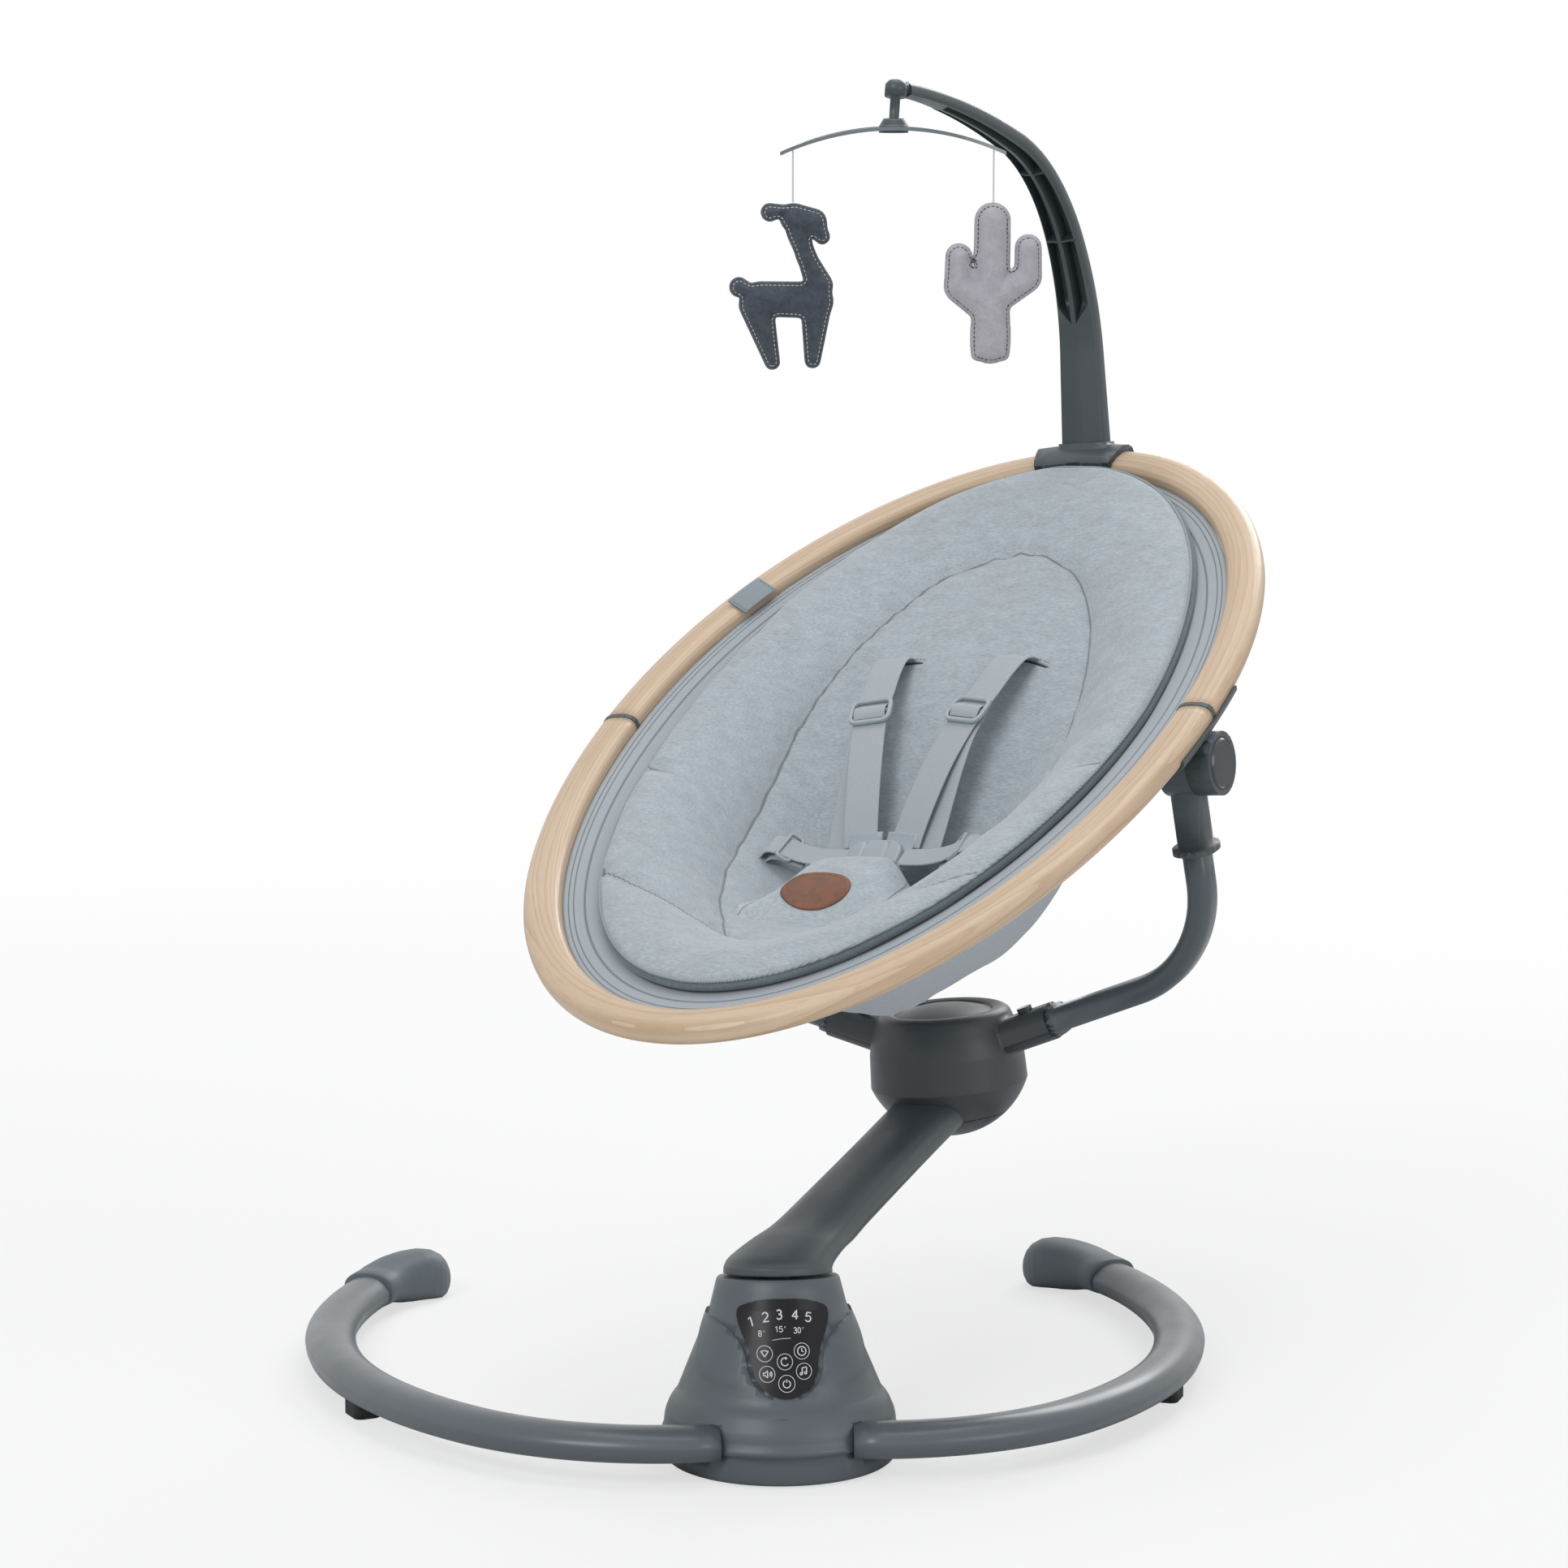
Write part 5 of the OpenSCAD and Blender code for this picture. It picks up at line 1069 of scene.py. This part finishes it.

# %% [markdown]
# The crotch pad covers the buckle's lower part: two layers of cloth over thin foam, with an arched top edge
# and a line of stitching all round, which is a pressed-in line darkened with painted shade. The padding is
# made by moving points: it is full in the middle, thin at its hem, and has two soft folds where it bends to
# the legs.

# %% Crotch pad
PAD_PATH = [(-93, -52), (-100, -47.5), (-111, -43.5), (-125, -41.5), (-140, -42.5), (-155, -45.5),
            (-168, -48), (-182, -50), (-196, -50)]
PAD_HALF = [(0, 36), (8, 43), (20, 49), (45, 54), (70, 58), (95, 61), (125, 62)]
def crotch_pad():
    path = curve_through([Vector((0, y, z)) for y, z in PAD_PATH], 90)
    run = running(path)
    count, rows, hems = 64, [], []
    for i, p in enumerate(path):
        d = (path[min(i + 1, 89)] - path[max(i - 1, 0)]).normalized()
        up = Vector((1, 0, 0)).cross(d)
        s = run[i]
        half = float(np.interp(s, *zip(*PAD_HALF)))
        if s < 16:
            half *= math.sqrt(max(0.0, 1 - ((16 - s) / 17.5) ** 2.4)) * 0.96 + 0.04
        end = min(1.0, (s + 0.6) / 9.0)
        row, hem = [], []
        for k in range(count):
            a = 2 * math.pi * k / count
            c, t = math.cos(a), math.sin(a)
            x = half * math.copysign(abs(c) ** 0.6, c)
            rim = max(0.0, min(half - abs(x), s * 0.9))
            full = 1 - math.exp(-rim / 5.0)
            thick = (1.1 + 3.6 * full) * math.sqrt(end)
            z = thick * math.copysign(abs(t) ** 0.5, t)
            if t > 0:
                fold = noise.noise(Vector((x * 0.05, s * 0.045, 5.0)))
                crease = (math.exp(-((x - 25 - 0.25 * (s - 50)) / 2.6) ** 2) * min(1.0, s / 40)
                          + 0.8 * math.exp(-((x - 35 - 0.35 * (s - 50)) / 2.2) ** 2))
                z += (0.9 * fold - 1.5 * crease * min(1.0, rim / 8)) * full
                z -= 1.1 * math.exp(-((rim - 5.2) / 1.1) ** 2)
            z -= 0.0032 * x * x
            q = p + Vector((x, -0.0085 * x * x, 0)) + up * z
            down = min(1.0, max(0.0, (abs(x) - 22) / (half - 22))) ** 2 if half > 30 else 0.0
            q.z += (min(q.z, seat_height(cushion_tree, q.x, q.y) + 4.0) - q.z) * (0.92 * down)
            row.append(seat_point(*q))
            hem.append((rim - 5.2) / 1000)
        rows.append(row)
        hems.append(hem)
    piece = keep("crotch_pad_cover", skin(rows), PAD, "seat", nodes=("crotch_pad",))
    back = {}
    for row, hem in zip(rows, hems):
        for q, h in zip(row, hem):
            back[tuple(round(c, 6) for c in q)] = h
    values = [back.get(tuple(round(c, 6) for c in v.co), 0.05) for v in piece.data.vertices]
    carry(piece.data, "hem", values)
    return piece

pad_piece = crotch_pad()
pad_tree = tree_of(pad_piece.data)
print("crotch pad:", len(pad_piece.data.polygons), "faces")

# %% [markdown]
# An oval leather patch is sewn on the pad. The real one carries a pressed mark, which is left
# off, so the grain, a soft bevelled edge and the ring of stitches have to carry it.

# %% Leather patch and its stitches
def patch_point(a, share, lift):
    x, y = 25.5 * math.cos(a) * share, 17.5 * math.sin(a) * share
    return lie_on(pad_tree, x - 9, -147 + y, lift)

turns = [2 * math.pi * k / 64 for k in range(64)]
rows = [[patch_point(a, share, lift) for a in turns]
        for share, lift in ((0.9, -0.4), (0.985, -0.3), (1, 0.5), (0.985, 1.2), (0.95, 1.55),
                            (0.88, 1.6), (0.84, 1.45),
                            (0.8, 1.6), (0.6, 1.75), (0.35, 1.85), (0.12, 1.9), (0.0, 1.9))]
patch = keep("leather_patch_oval", skin(rows), LEATHER, "seat", nodes=("leather_patch",))
stitches("leather_patch_stitches", [patch_point(a, 0.86, 1.62) for a in turns], TAN_THREAD, "seat",
         length=0.0019, gap=0.0011, radius=0.000182, closed=True)
print("patch and stitches")

# %% [markdown]
# The small tag at the ring's edge is a folded ribbon with bare faces. It bows a little and is
# held by two short rows of stitches.

# %% Tag
tag_turn = 71.4
here = placed((-188.0, 157.0, 8.4), (25, 0, tag_turn))
bow = [here(x, 0, 0.9 * (1 - (x / 17) ** 2)) for x in np.linspace(-16.5, 16.5, 24)]
tag_up = (here(0, 0, 1) - here(0, 0, 0)).normalized()
keep("side_tag", skin(sweep(bow, flat_section(17.5, 1.3, 4), tag_up)), TAG,
     "seat", nodes=("label_tag",))
for end, word in ((-14.6, "low"), (14.6, "high")):
    row = [here(end, y, 1.05) for y in np.linspace(-7.5, 7.5, 12)]
    stitches("side_tag_stitches_" + word, row, GREY_THREAD, "seat")
print("tag sewn at the ring")

# %% [markdown]
# The toys are two layers of felt sewn together just inside their edge and stuffed, so each has
# a thin flat border, a line of stitches and a full body. The outline is the union of tapered
# limbs. A grid is laid over it, cut to the outline, and each point is raised by how deep inside
# the toy it lies. A point on the border is pulled onto the outline, so the edge is smooth.

# %% Limbs
BLEND = 2.4     # millimetres over which two limbs run into each other
def limb_depth(x, z, limbs):
    """How far (x, z) lies inside a union of tapered limbs, in millimetres, below zero outside."""
    best = -1e9
    for (ax, az), (bx, bz), ra, rb in limbs:
        dx, dz = bx - ax, bz - az
        t = max(0.0, min(1.0, ((x - ax) * dx + (z - az) * dz) / (dx * dx + dz * dz)))
        depth = ra + (rb - ra) * t - math.hypot(x - ax - dx * t, z - az - dz * t)
        reach = max(0.0, BLEND - abs(best - depth))
        best = max(best, depth) + reach * reach / (4 * BLEND)
    return best

LLAMA = [((1, -10.3), (14, -13), 10, 9), ((14, -14), (20, -23), 8.5, 5.5),
         ((-15.5, -6.5), (-4, -5), 6.5, 3.5),
         ((3.5, -20), (9, -36), 8, 6.5), ((9, -36), (18, -56), 6.5, 9.5), ((-22, -65), (15, -66), 12, 12.5),
         ((16, -68), (13.5, -107), 11, 5.6), ((-25, -69), (-14, -108), 12, 5.4),
         ((-36.5, -57), (-28, -60), 7, 4.5)]
CACTUS = [((-0.5, -12.7), (-1.5, -94), 12.5, 12.8), ((-1.6, -80), (-1.6, -97), 12.8, 12.9),
          ((-10.5, -86), (-10.5, -103.5), 4.4, 4.4), ((7.3, -86), (7.3, -103.5), 4.4, 4.4),
          ((-4, -103), (2, -103), 5, 5),
          ((-23.5, -37), (-23.5, -56), 9.3, 10), ((-22, -58), (-4, -72), 11, 11.5),
          ((24, -31), (24, -50), 9.3, 9.5), ((22, -52), (4, -64), 10.5, 11)]

def slope_of(x, z, limbs):
    e = 0.05
    gx = limb_depth(x + e, z, limbs) - limb_depth(x - e, z, limbs)
    gz = limb_depth(x, z + e, limbs) - limb_depth(x, z - e, limbs)
    n = math.hypot(gx, gz) or 1.0
    return gx / n, gz / n

def edge_loops(bm):
    """The boundary of an open grid as ordered loops of points."""
    following = {}
    for e in bm.edges:
        if e.is_boundary:
            for a, b in ((e.verts[0], e.verts[1]), (e.verts[1], e.verts[0])):
                following.setdefault(a, []).append(b)
    loops, seen = [], set()
    for start in following:
        if start in seen:
            continue
        loop, before, at = [], None, start
        while at not in seen:
            seen.add(at)
            loop.append(at)
            ahead = [v for v in following[at] if v is not before and v not in seen]
            if not ahead:
                break
            before, at = at, ahead[0]
        loops.append(loop)
    return loops

def felt_toy(name, anchor, limbs, material, body, node, thread_material, step=1.1, seam=2.6):
    bm = bmesh.new()
    columns, rows = round(100 / step), round(125 / step)
    bmesh.ops.create_grid(bm, x_segments=columns, y_segments=rows, size=1)
    for v in bm.verts:
        v.co = Vector((v.co.x * 50, 0, (v.co.y - 1) * 62.5 + 4))
    out = [v for v in bm.verts if limb_depth(v.co.x, v.co.z, limbs) < 0.35 * step]
    bmesh.ops.delete(bm, geom=out, context="VERTS")
    loose = [v for v in bm.verts if not v.link_faces]
    bmesh.ops.delete(bm, geom=loose, context="VERTS")
    for v in bm.verts:
        if v.is_boundary:
            for _ in range(3):
                depth = limb_depth(v.co.x, v.co.z, limbs)
                gx, gz = slope_of(v.co.x, v.co.z, limbs)
                v.co.x -= gx * depth
                v.co.z -= gz * depth
    border = [v for v in bm.verts if v.is_boundary]
    for _ in range(4):
        moved = {v: sum((e.other_vert(v).co for e in v.link_edges if e.is_boundary), Vector()) / 2
                 for v in border}
        for v in border:
            v.co = v.co.lerp(moved[v], 0.35)
    near = [v for v in bm.verts if not v.is_boundary]
    for _ in range(3):
        bmesh.ops.smooth_vert(bm, verts=[v for v in near if limb_depth(v.co.x, v.co.z, limbs) < 3],
                              factor=0.5, use_axis_x=True, use_axis_z=True)
    lines = []
    for loop in edge_loops(bm):
        if len(loop) < 12:
            continue
        line = []
        for v in loop:
            gx, gz = slope_of(v.co.x, v.co.z, limbs)
            line.append((v.co.x + gx * seam, v.co.z + gz * seam))
        lines.append(line)
    def puff(x, z, border_point):
        depth = max(0.0, limb_depth(x, z, limbs))
        wrinkle = (0.5 * noise.noise(Vector((x * 0.09, z * 0.09, 2.0)))
                   + 0.3 * noise.noise(Vector((x * 0.3, z * 0.3, 4))))
        full = 1 - math.exp(-max(0.0, depth - seam + 0.3) / 4.2)
        sewn = 0.45 * math.exp(-((depth - seam) / 0.5) ** 2)
        return (0.25 if border_point else 1.15) + 6.4 * full + wrinkle * full - sewn
    for v in bm.verts:
        v.co.y = -puff(v.co.x, v.co.z, v.is_boundary)
    back = bmesh.ops.duplicate(bm, geom=bm.verts[:] + bm.edges[:] + bm.faces[:])
    for v in [g for g in back["geom"] if isinstance(g, bmesh.types.BMVert)]:
        v.co.y = -v.co.y
    rim = [v for v in bm.verts if v.is_boundary]
    for v in rim:
        v.co.y = 0
    bmesh.ops.remove_doubles(bm, verts=rim, dist=0.01)
    bmesh.ops.recalc_face_normals(bm, faces=bm.faces)
    bmesh.ops.transform(bm, matrix=Matrix.Translation(anchor) @ Matrix.Scale(0.001, 4), verts=bm.verts)
    piece = keep(name, bm, material, body, nodes=(node,))
    for number, line in enumerate(lines):
        for face_word, way in (("front", -1), ("back", 1)):
            path = [anchor + Vector((x, way * (puff(x, z, False) + 0.45), z)) / 1000 for x, z in line[::2]]
            ending = face_word + (str(number) if number else "")
            stitches(name + "_stitches_" + ending, path, thread_material, body,
                     length=0.0019, gap=0.0011, radius=0.000364, closed=True)
    return piece

llama_hang, cactus_hang = (Vector((x, STRING_Y, STRING_TOP - STRING_LENGTH)) for x in (LLAMA_X, CACTUS_X))
felt_toy("llama_toy_felt", llama_hang, LLAMA, FELT_DARK, "llama", "llama_toy", WHITE_THREAD)
felt_toy("cactus_toy_felt", cactus_hang, CACTUS, FELT_LIGHT, "cactus", "cactus_toy",
         DARK_THREAD_AND_SLOT_SHADOW)
print("two stuffed felt toys")

# %% [markdown]
# The toy bar is a tapered curved beam: smooth outside, and hollowed inside in long channels
# with a rib down the middle and two ribs across. In the solid it is faceted, so the same
# section is carried here in many more steps, with its channels pressed into the inner face.

# %% Toy bar
BAR_RUNS = [(65.0, 0.0), (88.0, 190.0), (104.0, 132.0), (158.0, 660.0)]
BAR_LENGTH = sum(length for length, _ in BAR_RUNS)
def bar_station(s):
    """Place and heading, in degrees, of the bar's middle line at a length along it."""
    p, heading = (563.0, 600.0), 86.0
    for length, radius in BAR_RUNS:
        run = min(s, length)
        if radius == 0:
            p = (p[0] + run * math.cos(math.radians(heading)), p[1] + run * math.sin(math.radians(heading)))
        else:
            turn = math.degrees(run / radius)
            p = bend_end(p, heading, radius, turn)
            heading += turn
        s -= run
        if s <= 1e-9:
            break
    return p, heading

CHANNELS = [(88.0, 151.0, True), (153.0, 217.0, False), (219.0, 362.0, False)]
def channel_at(s):
    """How open and how deep the channels are here, both from 0 to 1."""
    for low, high, tip in CHANNELS:
        if low - 0.01 <= s <= high + 0.01:
            if tip:
                return min(1.0, 0.06 + 0.94 * (s - low) / 12.6)
            return 1.0
    return 0.0

def bar_rows():
    stops = set(np.arange(0.0, BAR_LENGTH + 0.1, 3.0)) | {BAR_LENGTH}
    for low, high, tip in CHANNELS:
        stops |= {low - 0.35, low, high, high + 0.35}
    rows = []
    for s in sorted(stops):
        (y, z), heading = bar_station(s)
        share = s / BAR_LENGTH
        half_w, half_t = (35 * (1 - share) + 11.5 * share) / 2, (22 * (1 - share) + 10 * share) / 2
        open_ = channel_at(s)
        h = math.radians(heading)
        o, v = Vector((0, y, z)), Vector((0, -math.sin(h), math.cos(h)))
        def skin_at(x):
            return (1 - min(1.0, abs(x)) ** 3.2) ** (1 / 3.2)
        outline = []
        for a in (math.pi + math.pi * k / 28 for k in range(29)):
            outline.append((bent(math.cos(a), 3.2), -abs(math.sin(a)) ** (2 / 3.2)))
        floor = skin_at(0.5) + (-0.45 - skin_at(0.5)) * open_
        inner, outer = 0.12, 0.12 + 0.70 * open_
        def at(x):
            return (x, skin_at(x))
        top = [at(x) for x in (0.985, 0.95, 0.9)]
        top += [at(outer + 0.03)] + [at(outer)]
        if open_ > 0:
            top += [(outer - 0.03, floor + 0.06 * open_), (outer - 0.08, floor), ((outer + inner) / 2, floor),
                    (inner + 0.06, floor), (inner + 0.02, floor + 0.06 * open_), at(inner), at(inner - 0.04)]
        else:
            top += [at(x) for x in (0.11, 0.105, 0.10, 0.09, 0.08, 0.07, 0.06)]
        top = top + [at(0)] + [(-x, t) for x, t in reversed(top)]
        rows.append([SWING @ ((o + Vector((x * half_w, 0, 0)) + v * t * half_t) / 1000)
                     for x, t in outline + top])
    return rows

arch = skin(bar_rows())
way = math.radians(86)
foot = [swung_point(0, 563 + math.cos(way) * s, 600 + math.sin(way) * s) for s in (-5.1, 1.5)]
take_in(arch, skin(sweep(foot, superellipse(0.0134, 0.0074, 4, 24), -(SWING.to_3x3() @ Vector((0, 1, 0))))))
bar = keep("toy_bar_beam", arch, ARCH, "toy_bar", nodes=("toybar_arch",))
bar.data.set_sharp_from_angle(angle=math.radians(38))
print("toy bar:", len(bar.data.polygons), "faces,", BAR_LENGTH, "mm long")

# %% [markdown]
# The leaning arm is an oval beam that grows out of a round foot and runs up under the hub. The
# solid joins its stations with straight faces; here a smooth curve runs through them, and a
# fine groove marks where the rear cover meets the shell.

# %% Arm
def arm_edge(d, sign):
    a = math.radians(13.8)
    return (101.3 + d * math.cos(a) - sign * 14.5 * math.sin(a),
            140 + d * math.sin(a) + sign * 14.5 * math.cos(a))

ARM_FOOT, ARM_FOOT_R = (119 * LEAN_Y, 119 * LEAN_Z), 35.5
ARM_V = (LEAN_Z, -LEAN_Y)
ARM_STATIONS = [
    ((-16, 128), (54.5, 114), 35, 2.0), ((-10, 132.5), (57.5, 115.5), 34, 2.1),
    ((4, 135.8), (62.5, 117.3), 32.5, 2.2),
    ((25, 139.2), (72, 119.7), 30.5, 2.3), (arm_edge(-45, 1), arm_edge(-20, -1), 28, 2.4),
    (arm_edge(0, 1), arm_edge(0, -1), 26.7, 2.4), (arm_edge(60, 1), arm_edge(60, -1), 26, 2.4),
    (arm_edge(105, 1), arm_edge(105, -1), 26, 2.4), (arm_edge(146, 1), arm_edge(146, -1), 26.5, 2.4)]

def arm_rows():
    fronts = curve_through([Vector((0, *a)) for a, _, _, _ in ARM_STATIONS], 90)
    backs = curve_through([Vector((0, *b)) for _, b, _, _ in ARM_STATIONS], 90)
    sizes = curve_through([Vector((w, n, 0)) for _, _, w, n in ARM_STATIONS], 90)
    stations = []
    f0 = Vector((0, ARM_FOOT[0] - ARM_V[0] * 35.5, ARM_FOOT[1] - ARM_V[1] * 35.5))
    b0 = Vector((0, ARM_FOOT[0] + ARM_V[0] * 35.5, ARM_FOOT[1] + ARM_V[1] * 35.5))
    for t, grow in ((0.0, -0.8), (0.03, -0.25), (0.08, 0.0), (0.3, 0.0), (0.55, 0.0), (0.8, 0.0)):
        stations.append((f0.lerp(fronts[0], t), b0.lerp(backs[0], t), 35.5 + grow - 0.5 * t, 2.0, grow))
    stations += [(a, b, c.x, c.y, 0.0) for a, b, c in zip(fronts, backs, sizes)]
    rows = []
    turns = sorted(list(np.linspace(-180, 180, 72, endpoint=False))
                   + [c + d for c in (-37.0, 217.0 - 360) for d in (-1.3, -0.7, 0.7, 1.3)])
    for a, b, w, n, grow in stations:
        middle, v = (a + b) / 2, (a - b).normalized()
        half = (a - b).length / 2 + grow
        row = []
        for turn in turns:
            c, s = math.cos(math.radians(turn)), math.sin(math.radians(turn))
            x = bent(c, n)
            y = bent(s, n)
            pressed = 0.8 if min(abs(turn + 37), abs(turn + 143)) < 0.9 else 0.0
            shrink = 1 - pressed / half
            row.append(SWING @ ((middle + Vector((-w * x * shrink, 0, 0)) + v * half * y * shrink) / 1000))
        rows.append(row)
    return rows

arm = keep("swing_arm_beam", skin(arm_rows()), ARM, "swing_arm",
           nodes=("arm_shell", "arm_rear_cover"))
print("arm:", len(arm.data.polygons), "faces")
# %% [markdown]
# The control panel is glossy black with light printed signs: five numbers for the speeds, three
# times for the timer, and six round keys. The print is drawn as strokes of 0.3 to 0.9 mm, each
# a thin band that follows the panel's cone, so that it bends as real print does.

# %% Print on the cone
panel_tree = tree_of(frame["nodes"]["control_panel"].data)
def on_panel(x, h, lift=0.12):
    """A point lift above the panel at x across and h along the swing axis, in millimetres."""
    def cone(more):
        r = 86.6 - 0.416 * h + more
        q = math.sqrt(r * r - x * x)
        return Vector((x, -LEAN_Z * q + LEAN_Y * h, LEAN_Y * q + LEAN_Z * h)) / 1000
    out = (cone(6) - cone(0)).normalized()
    hit = panel_tree.ray_cast(cone(6), -out)[0]
    return (hit if hit is not None else cone(0)) + out * lift / 1000

def arc(cx, cy, r, start, end, count=14):
    return [(cx + r * math.cos(math.radians(start + (end - start) * k / (count - 1))),
             cy + r * math.sin(math.radians(start + (end - start) * k / (count - 1)))) for k in range(count)]

DIGITS = {
    "1": [[(-0.25, 0.3), (0.05, 0.5), (0.05, -0.5)]],
    "2": [arc(0, 0.2, 0.3, 160, -40) + [(-0.32, -0.5), (0.34, -0.5)]],
    "3": [arc(0, 0.24, 0.26, 150, -90, 10) + arc(0, -0.22, 0.29, 90, -150, 12)],
    "4": [[(0.14, -0.5), (0.14, 0.5), (-0.34, -0.2), (0.36, -0.2)]],
    "5": [[(0.28, 0.5), (-0.22, 0.5), (-0.27, 0.05)] + arc(0, -0.17, 0.32, 130, -150, 12)],
    "8": [arc(0, 0.25, 0.25, 0, 360, 16), arc(0, -0.24, 0.28, 0, 360, 16)],
    "0": [[(0.27 * math.cos(a), 0.5 * math.sin(a)) for a in np.linspace(0, 2 * math.pi, 20)]],
    "'": [[(0.0, 0.5), (-0.06, 0.25)]],
}
strokes = []
def write(text, cx, cy, size, tilt=0.0):
    """Numbers drawn stroke by stroke, centred on a point, size being their height."""
    c, s = math.cos(math.radians(tilt)), math.sin(math.radians(tilt))
    pitch = 0.78
    for k, sign in enumerate(text):
        shift = (k - (len(text) - 1) / 2) * pitch
        for line in DIGITS[sign]:
            strokes.append(([(cx + size * ((x + shift) * c - y * s), cy + size * ((x + shift) * s + y * c))
                             for x, y in line], size * 0.08))

for sign, x, h, tilt in (("1", -20.6, 91.8, 14), ("2", -11.6, 94.7, 8), ("3", -2.9, 96.3, 2),
                         ("4", 7.5, 96.0, -5), ("5", 15.9, 94.1, -11)):
    write(sign, x, h, 5.6, tilt)
for text, x, h in (("8'", -14.0, 84.7), ("15'", -2.0, 87.3), ("30'", 9.7, 86.4)):
    write(text, x, h, 3.4)
strokes.append(([(-7.8, 80.6), (-1.8, 81.5), (4.1, 81.7)], 0.17))

def key(cx, cy, lines, r=4.9):
    strokes.append((arc(cx, cy, r, 0, 360, 40), 0.2))
    for line in lines:
        strokes.append(([(cx + x, cy + y) for x, y in line], 0.34))

key(-12.9, 72.4, [[(-2.4, 1.6), (0, -2.0), (2.4, 1.6)], arc(0, -2.0, 3.9, 55, 125, 8)])
key(10.8, 73.7, [arc(0, 0, 2.7, 0, 360, 24), [(0, 1.6), (0, 0), (1.2, -0.6)]])
key(-0.3, 67.4, [arc(0, 0, 2.4, 60, 330, 20), [(0.6, 2.9), (1.3, 2.0), (0.2, 1.5)]])
key(-11.8, 59.9, [[(-2.4, 0.8), (-1.2, 0.8), (0.3, 2.2), (0.3, -2.2), (-1.2, -0.8), (-2.4, -0.8),
                   (-2.4, 0.8)],
                  arc(0.5, 0, 1.5, -45, 45, 8), arc(0.5, 0, 2.5, -45, 45, 8)])
key(11.7, 61.4, [[(-1.1, -1.5), (-1.1, 2.1), (1.7, 2.5), (1.7, -1.0)], arc(-1.8, -1.5, 0.7, 0, 360, 10),
                 arc(1.0, -1.0, 0.7, 0, 360, 10)])
key(0.4, 54.1, [arc(0, -0.2, 2.3, 120, 420, 20), [(0, 0.6), (0, 2.7)]], 5.2)

def panel_print():
    bm = bmesh.new()
    for line, half in strokes:
        fine = []
        for a, b in zip(line, line[1:]):
            steps = max(1, int(math.dist(a, b) / 0.8))
            fine += [(a[0] + (b[0] - a[0]) * k / steps, a[1] + (b[1] - a[1]) * k / steps)
                     for k in range(steps)]
        fine.append(line[-1])
        path = [on_panel(x, h) for x, h in fine]
        ups = [(on_panel(x, h, 1.0) - on_panel(x, h, 0.0)).normalized() for x, h in fine]
        w, t = half / 1000, 0.00004
        take_in(bm, skin(sweep(path, [(-w, -t), (w, -t), (w, t), (-w, t)], ups)))
    return keep("panel_print", bm, PRINT, "base", smooth=False)

print("panel print:", len(panel_print().data.polygons), "faces in", len(strokes), "strokes")


# %% [markdown]
# A plain studio: a pale floor that keeps a soft shadow, a white surround, one large soft
# light high on the left, a weaker one on the right, one overhead and one behind.

# %% Studio
def studio_floor():
    f = Finish("studio floor")
    light_path = f.add("LightPath")
    seen = light_path.outputs["Is Camera Ray"]
    matte = f.add("BsdfDiffuse", Color=(0.86, 0.86, 0.86, 1)).outputs[0]
    glow = f.add("Emission", Color=(1, 1, 1, 1), Strength=1.0).outputs[0]
    here = f.add("TexCoord").outputs["Object"]
    reach = f.add("VectorMath", {"operation": "LENGTH"}, **{"0": here}).outputs["Value"]
    both = f.add("MixShader", Fac=f.range(reach, 0.66, 1.0, 0.7, 2.4))
    f.put(both, "1", matte)
    f.put(both, "2", glow)
    choice = f.add("MixShader", Fac=seen)
    f.put(choice, "1", matte)
    f.put(choice, "2", both.outputs[0])
    f.put(f.tree.nodes["Material Output"], "Surface", choice.outputs[0])
    f.tree.nodes.remove(f.shader)
    bm = bmesh.new()
    bmesh.ops.create_grid(bm, x_segments=2, y_segments=2, size=60)
    floor = keep("studio_floor", bm, f.material, None, smooth=False)

studio_floor()

def soft_light(name, place, aim, size, power, shade=(1, 1, 1)):
    data = bpy.data.lights.new(name, "AREA")
    data.shape, data.size, data.energy, data.color = "DISK", size, power, shade
    lamp = bpy.data.objects.new(name, data)
    towards = (Vector(aim) - Vector(place)).to_track_quat("-Z", "Y").to_matrix().to_4x4()
    lamp.matrix_world = Matrix.Translation(place) @ towards
    bpy.context.scene.collection.objects.link(lamp)

soft_light("key", (-1.9, -2.4, 2.6), (0.05, 0.1, 0.4), 1.8, 46)
soft_light("fill", (2.4, -2.2, 1.2), (0.05, 0.1, 0.4), 2.0, 17)
soft_light("top", (0.2, 0.4, 3.0), (0.05, 0.2, 0.4), 2.2, 26)
soft_light("rim", (1.3, 2.4, 1.9), (0.1, 0.2, 0.5), 1.4, 24)

world = bpy.data.worlds.new("studio world")
bpy.context.scene.world = world
world.use_nodes = True
tree = world.node_tree
surround = tree.nodes["Background"]
surround.inputs["Color"].default_value, surround.inputs["Strength"].default_value = (0.95, 0.97, 1, 1), 0.40
white = tree.nodes.new("ShaderNodeBackground")
white.inputs["Color"].default_value, white.inputs["Strength"].default_value = (1, 1, 1, 1), 1.0
path = tree.nodes.new("ShaderNodeLightPath")
rays = path.outputs["Is Camera Ray"]
for more in ("Is Glossy Ray", "Is Transmission Ray"):
    either = tree.nodes.new("ShaderNodeMath")
    either.operation = "MAXIMUM"
    tree.links.new(rays, either.inputs[0])
    tree.links.new(path.outputs[more], either.inputs[1])
    rays = either.outputs[0]
choose = tree.nodes.new("ShaderNodeMixShader")
tree.links.new(rays, choose.inputs[0])
tree.links.new(surround.outputs[0], choose.inputs[1])
tree.links.new(white.outputs[0], choose.inputs[2])
tree.links.new(choose.outputs[0], tree.nodes["World Output"].inputs["Surface"])
bpy.context.scene.view_settings.view_transform = "Standard"
print("studio ready")

# %% Final update
bpy.context.view_layer.update()
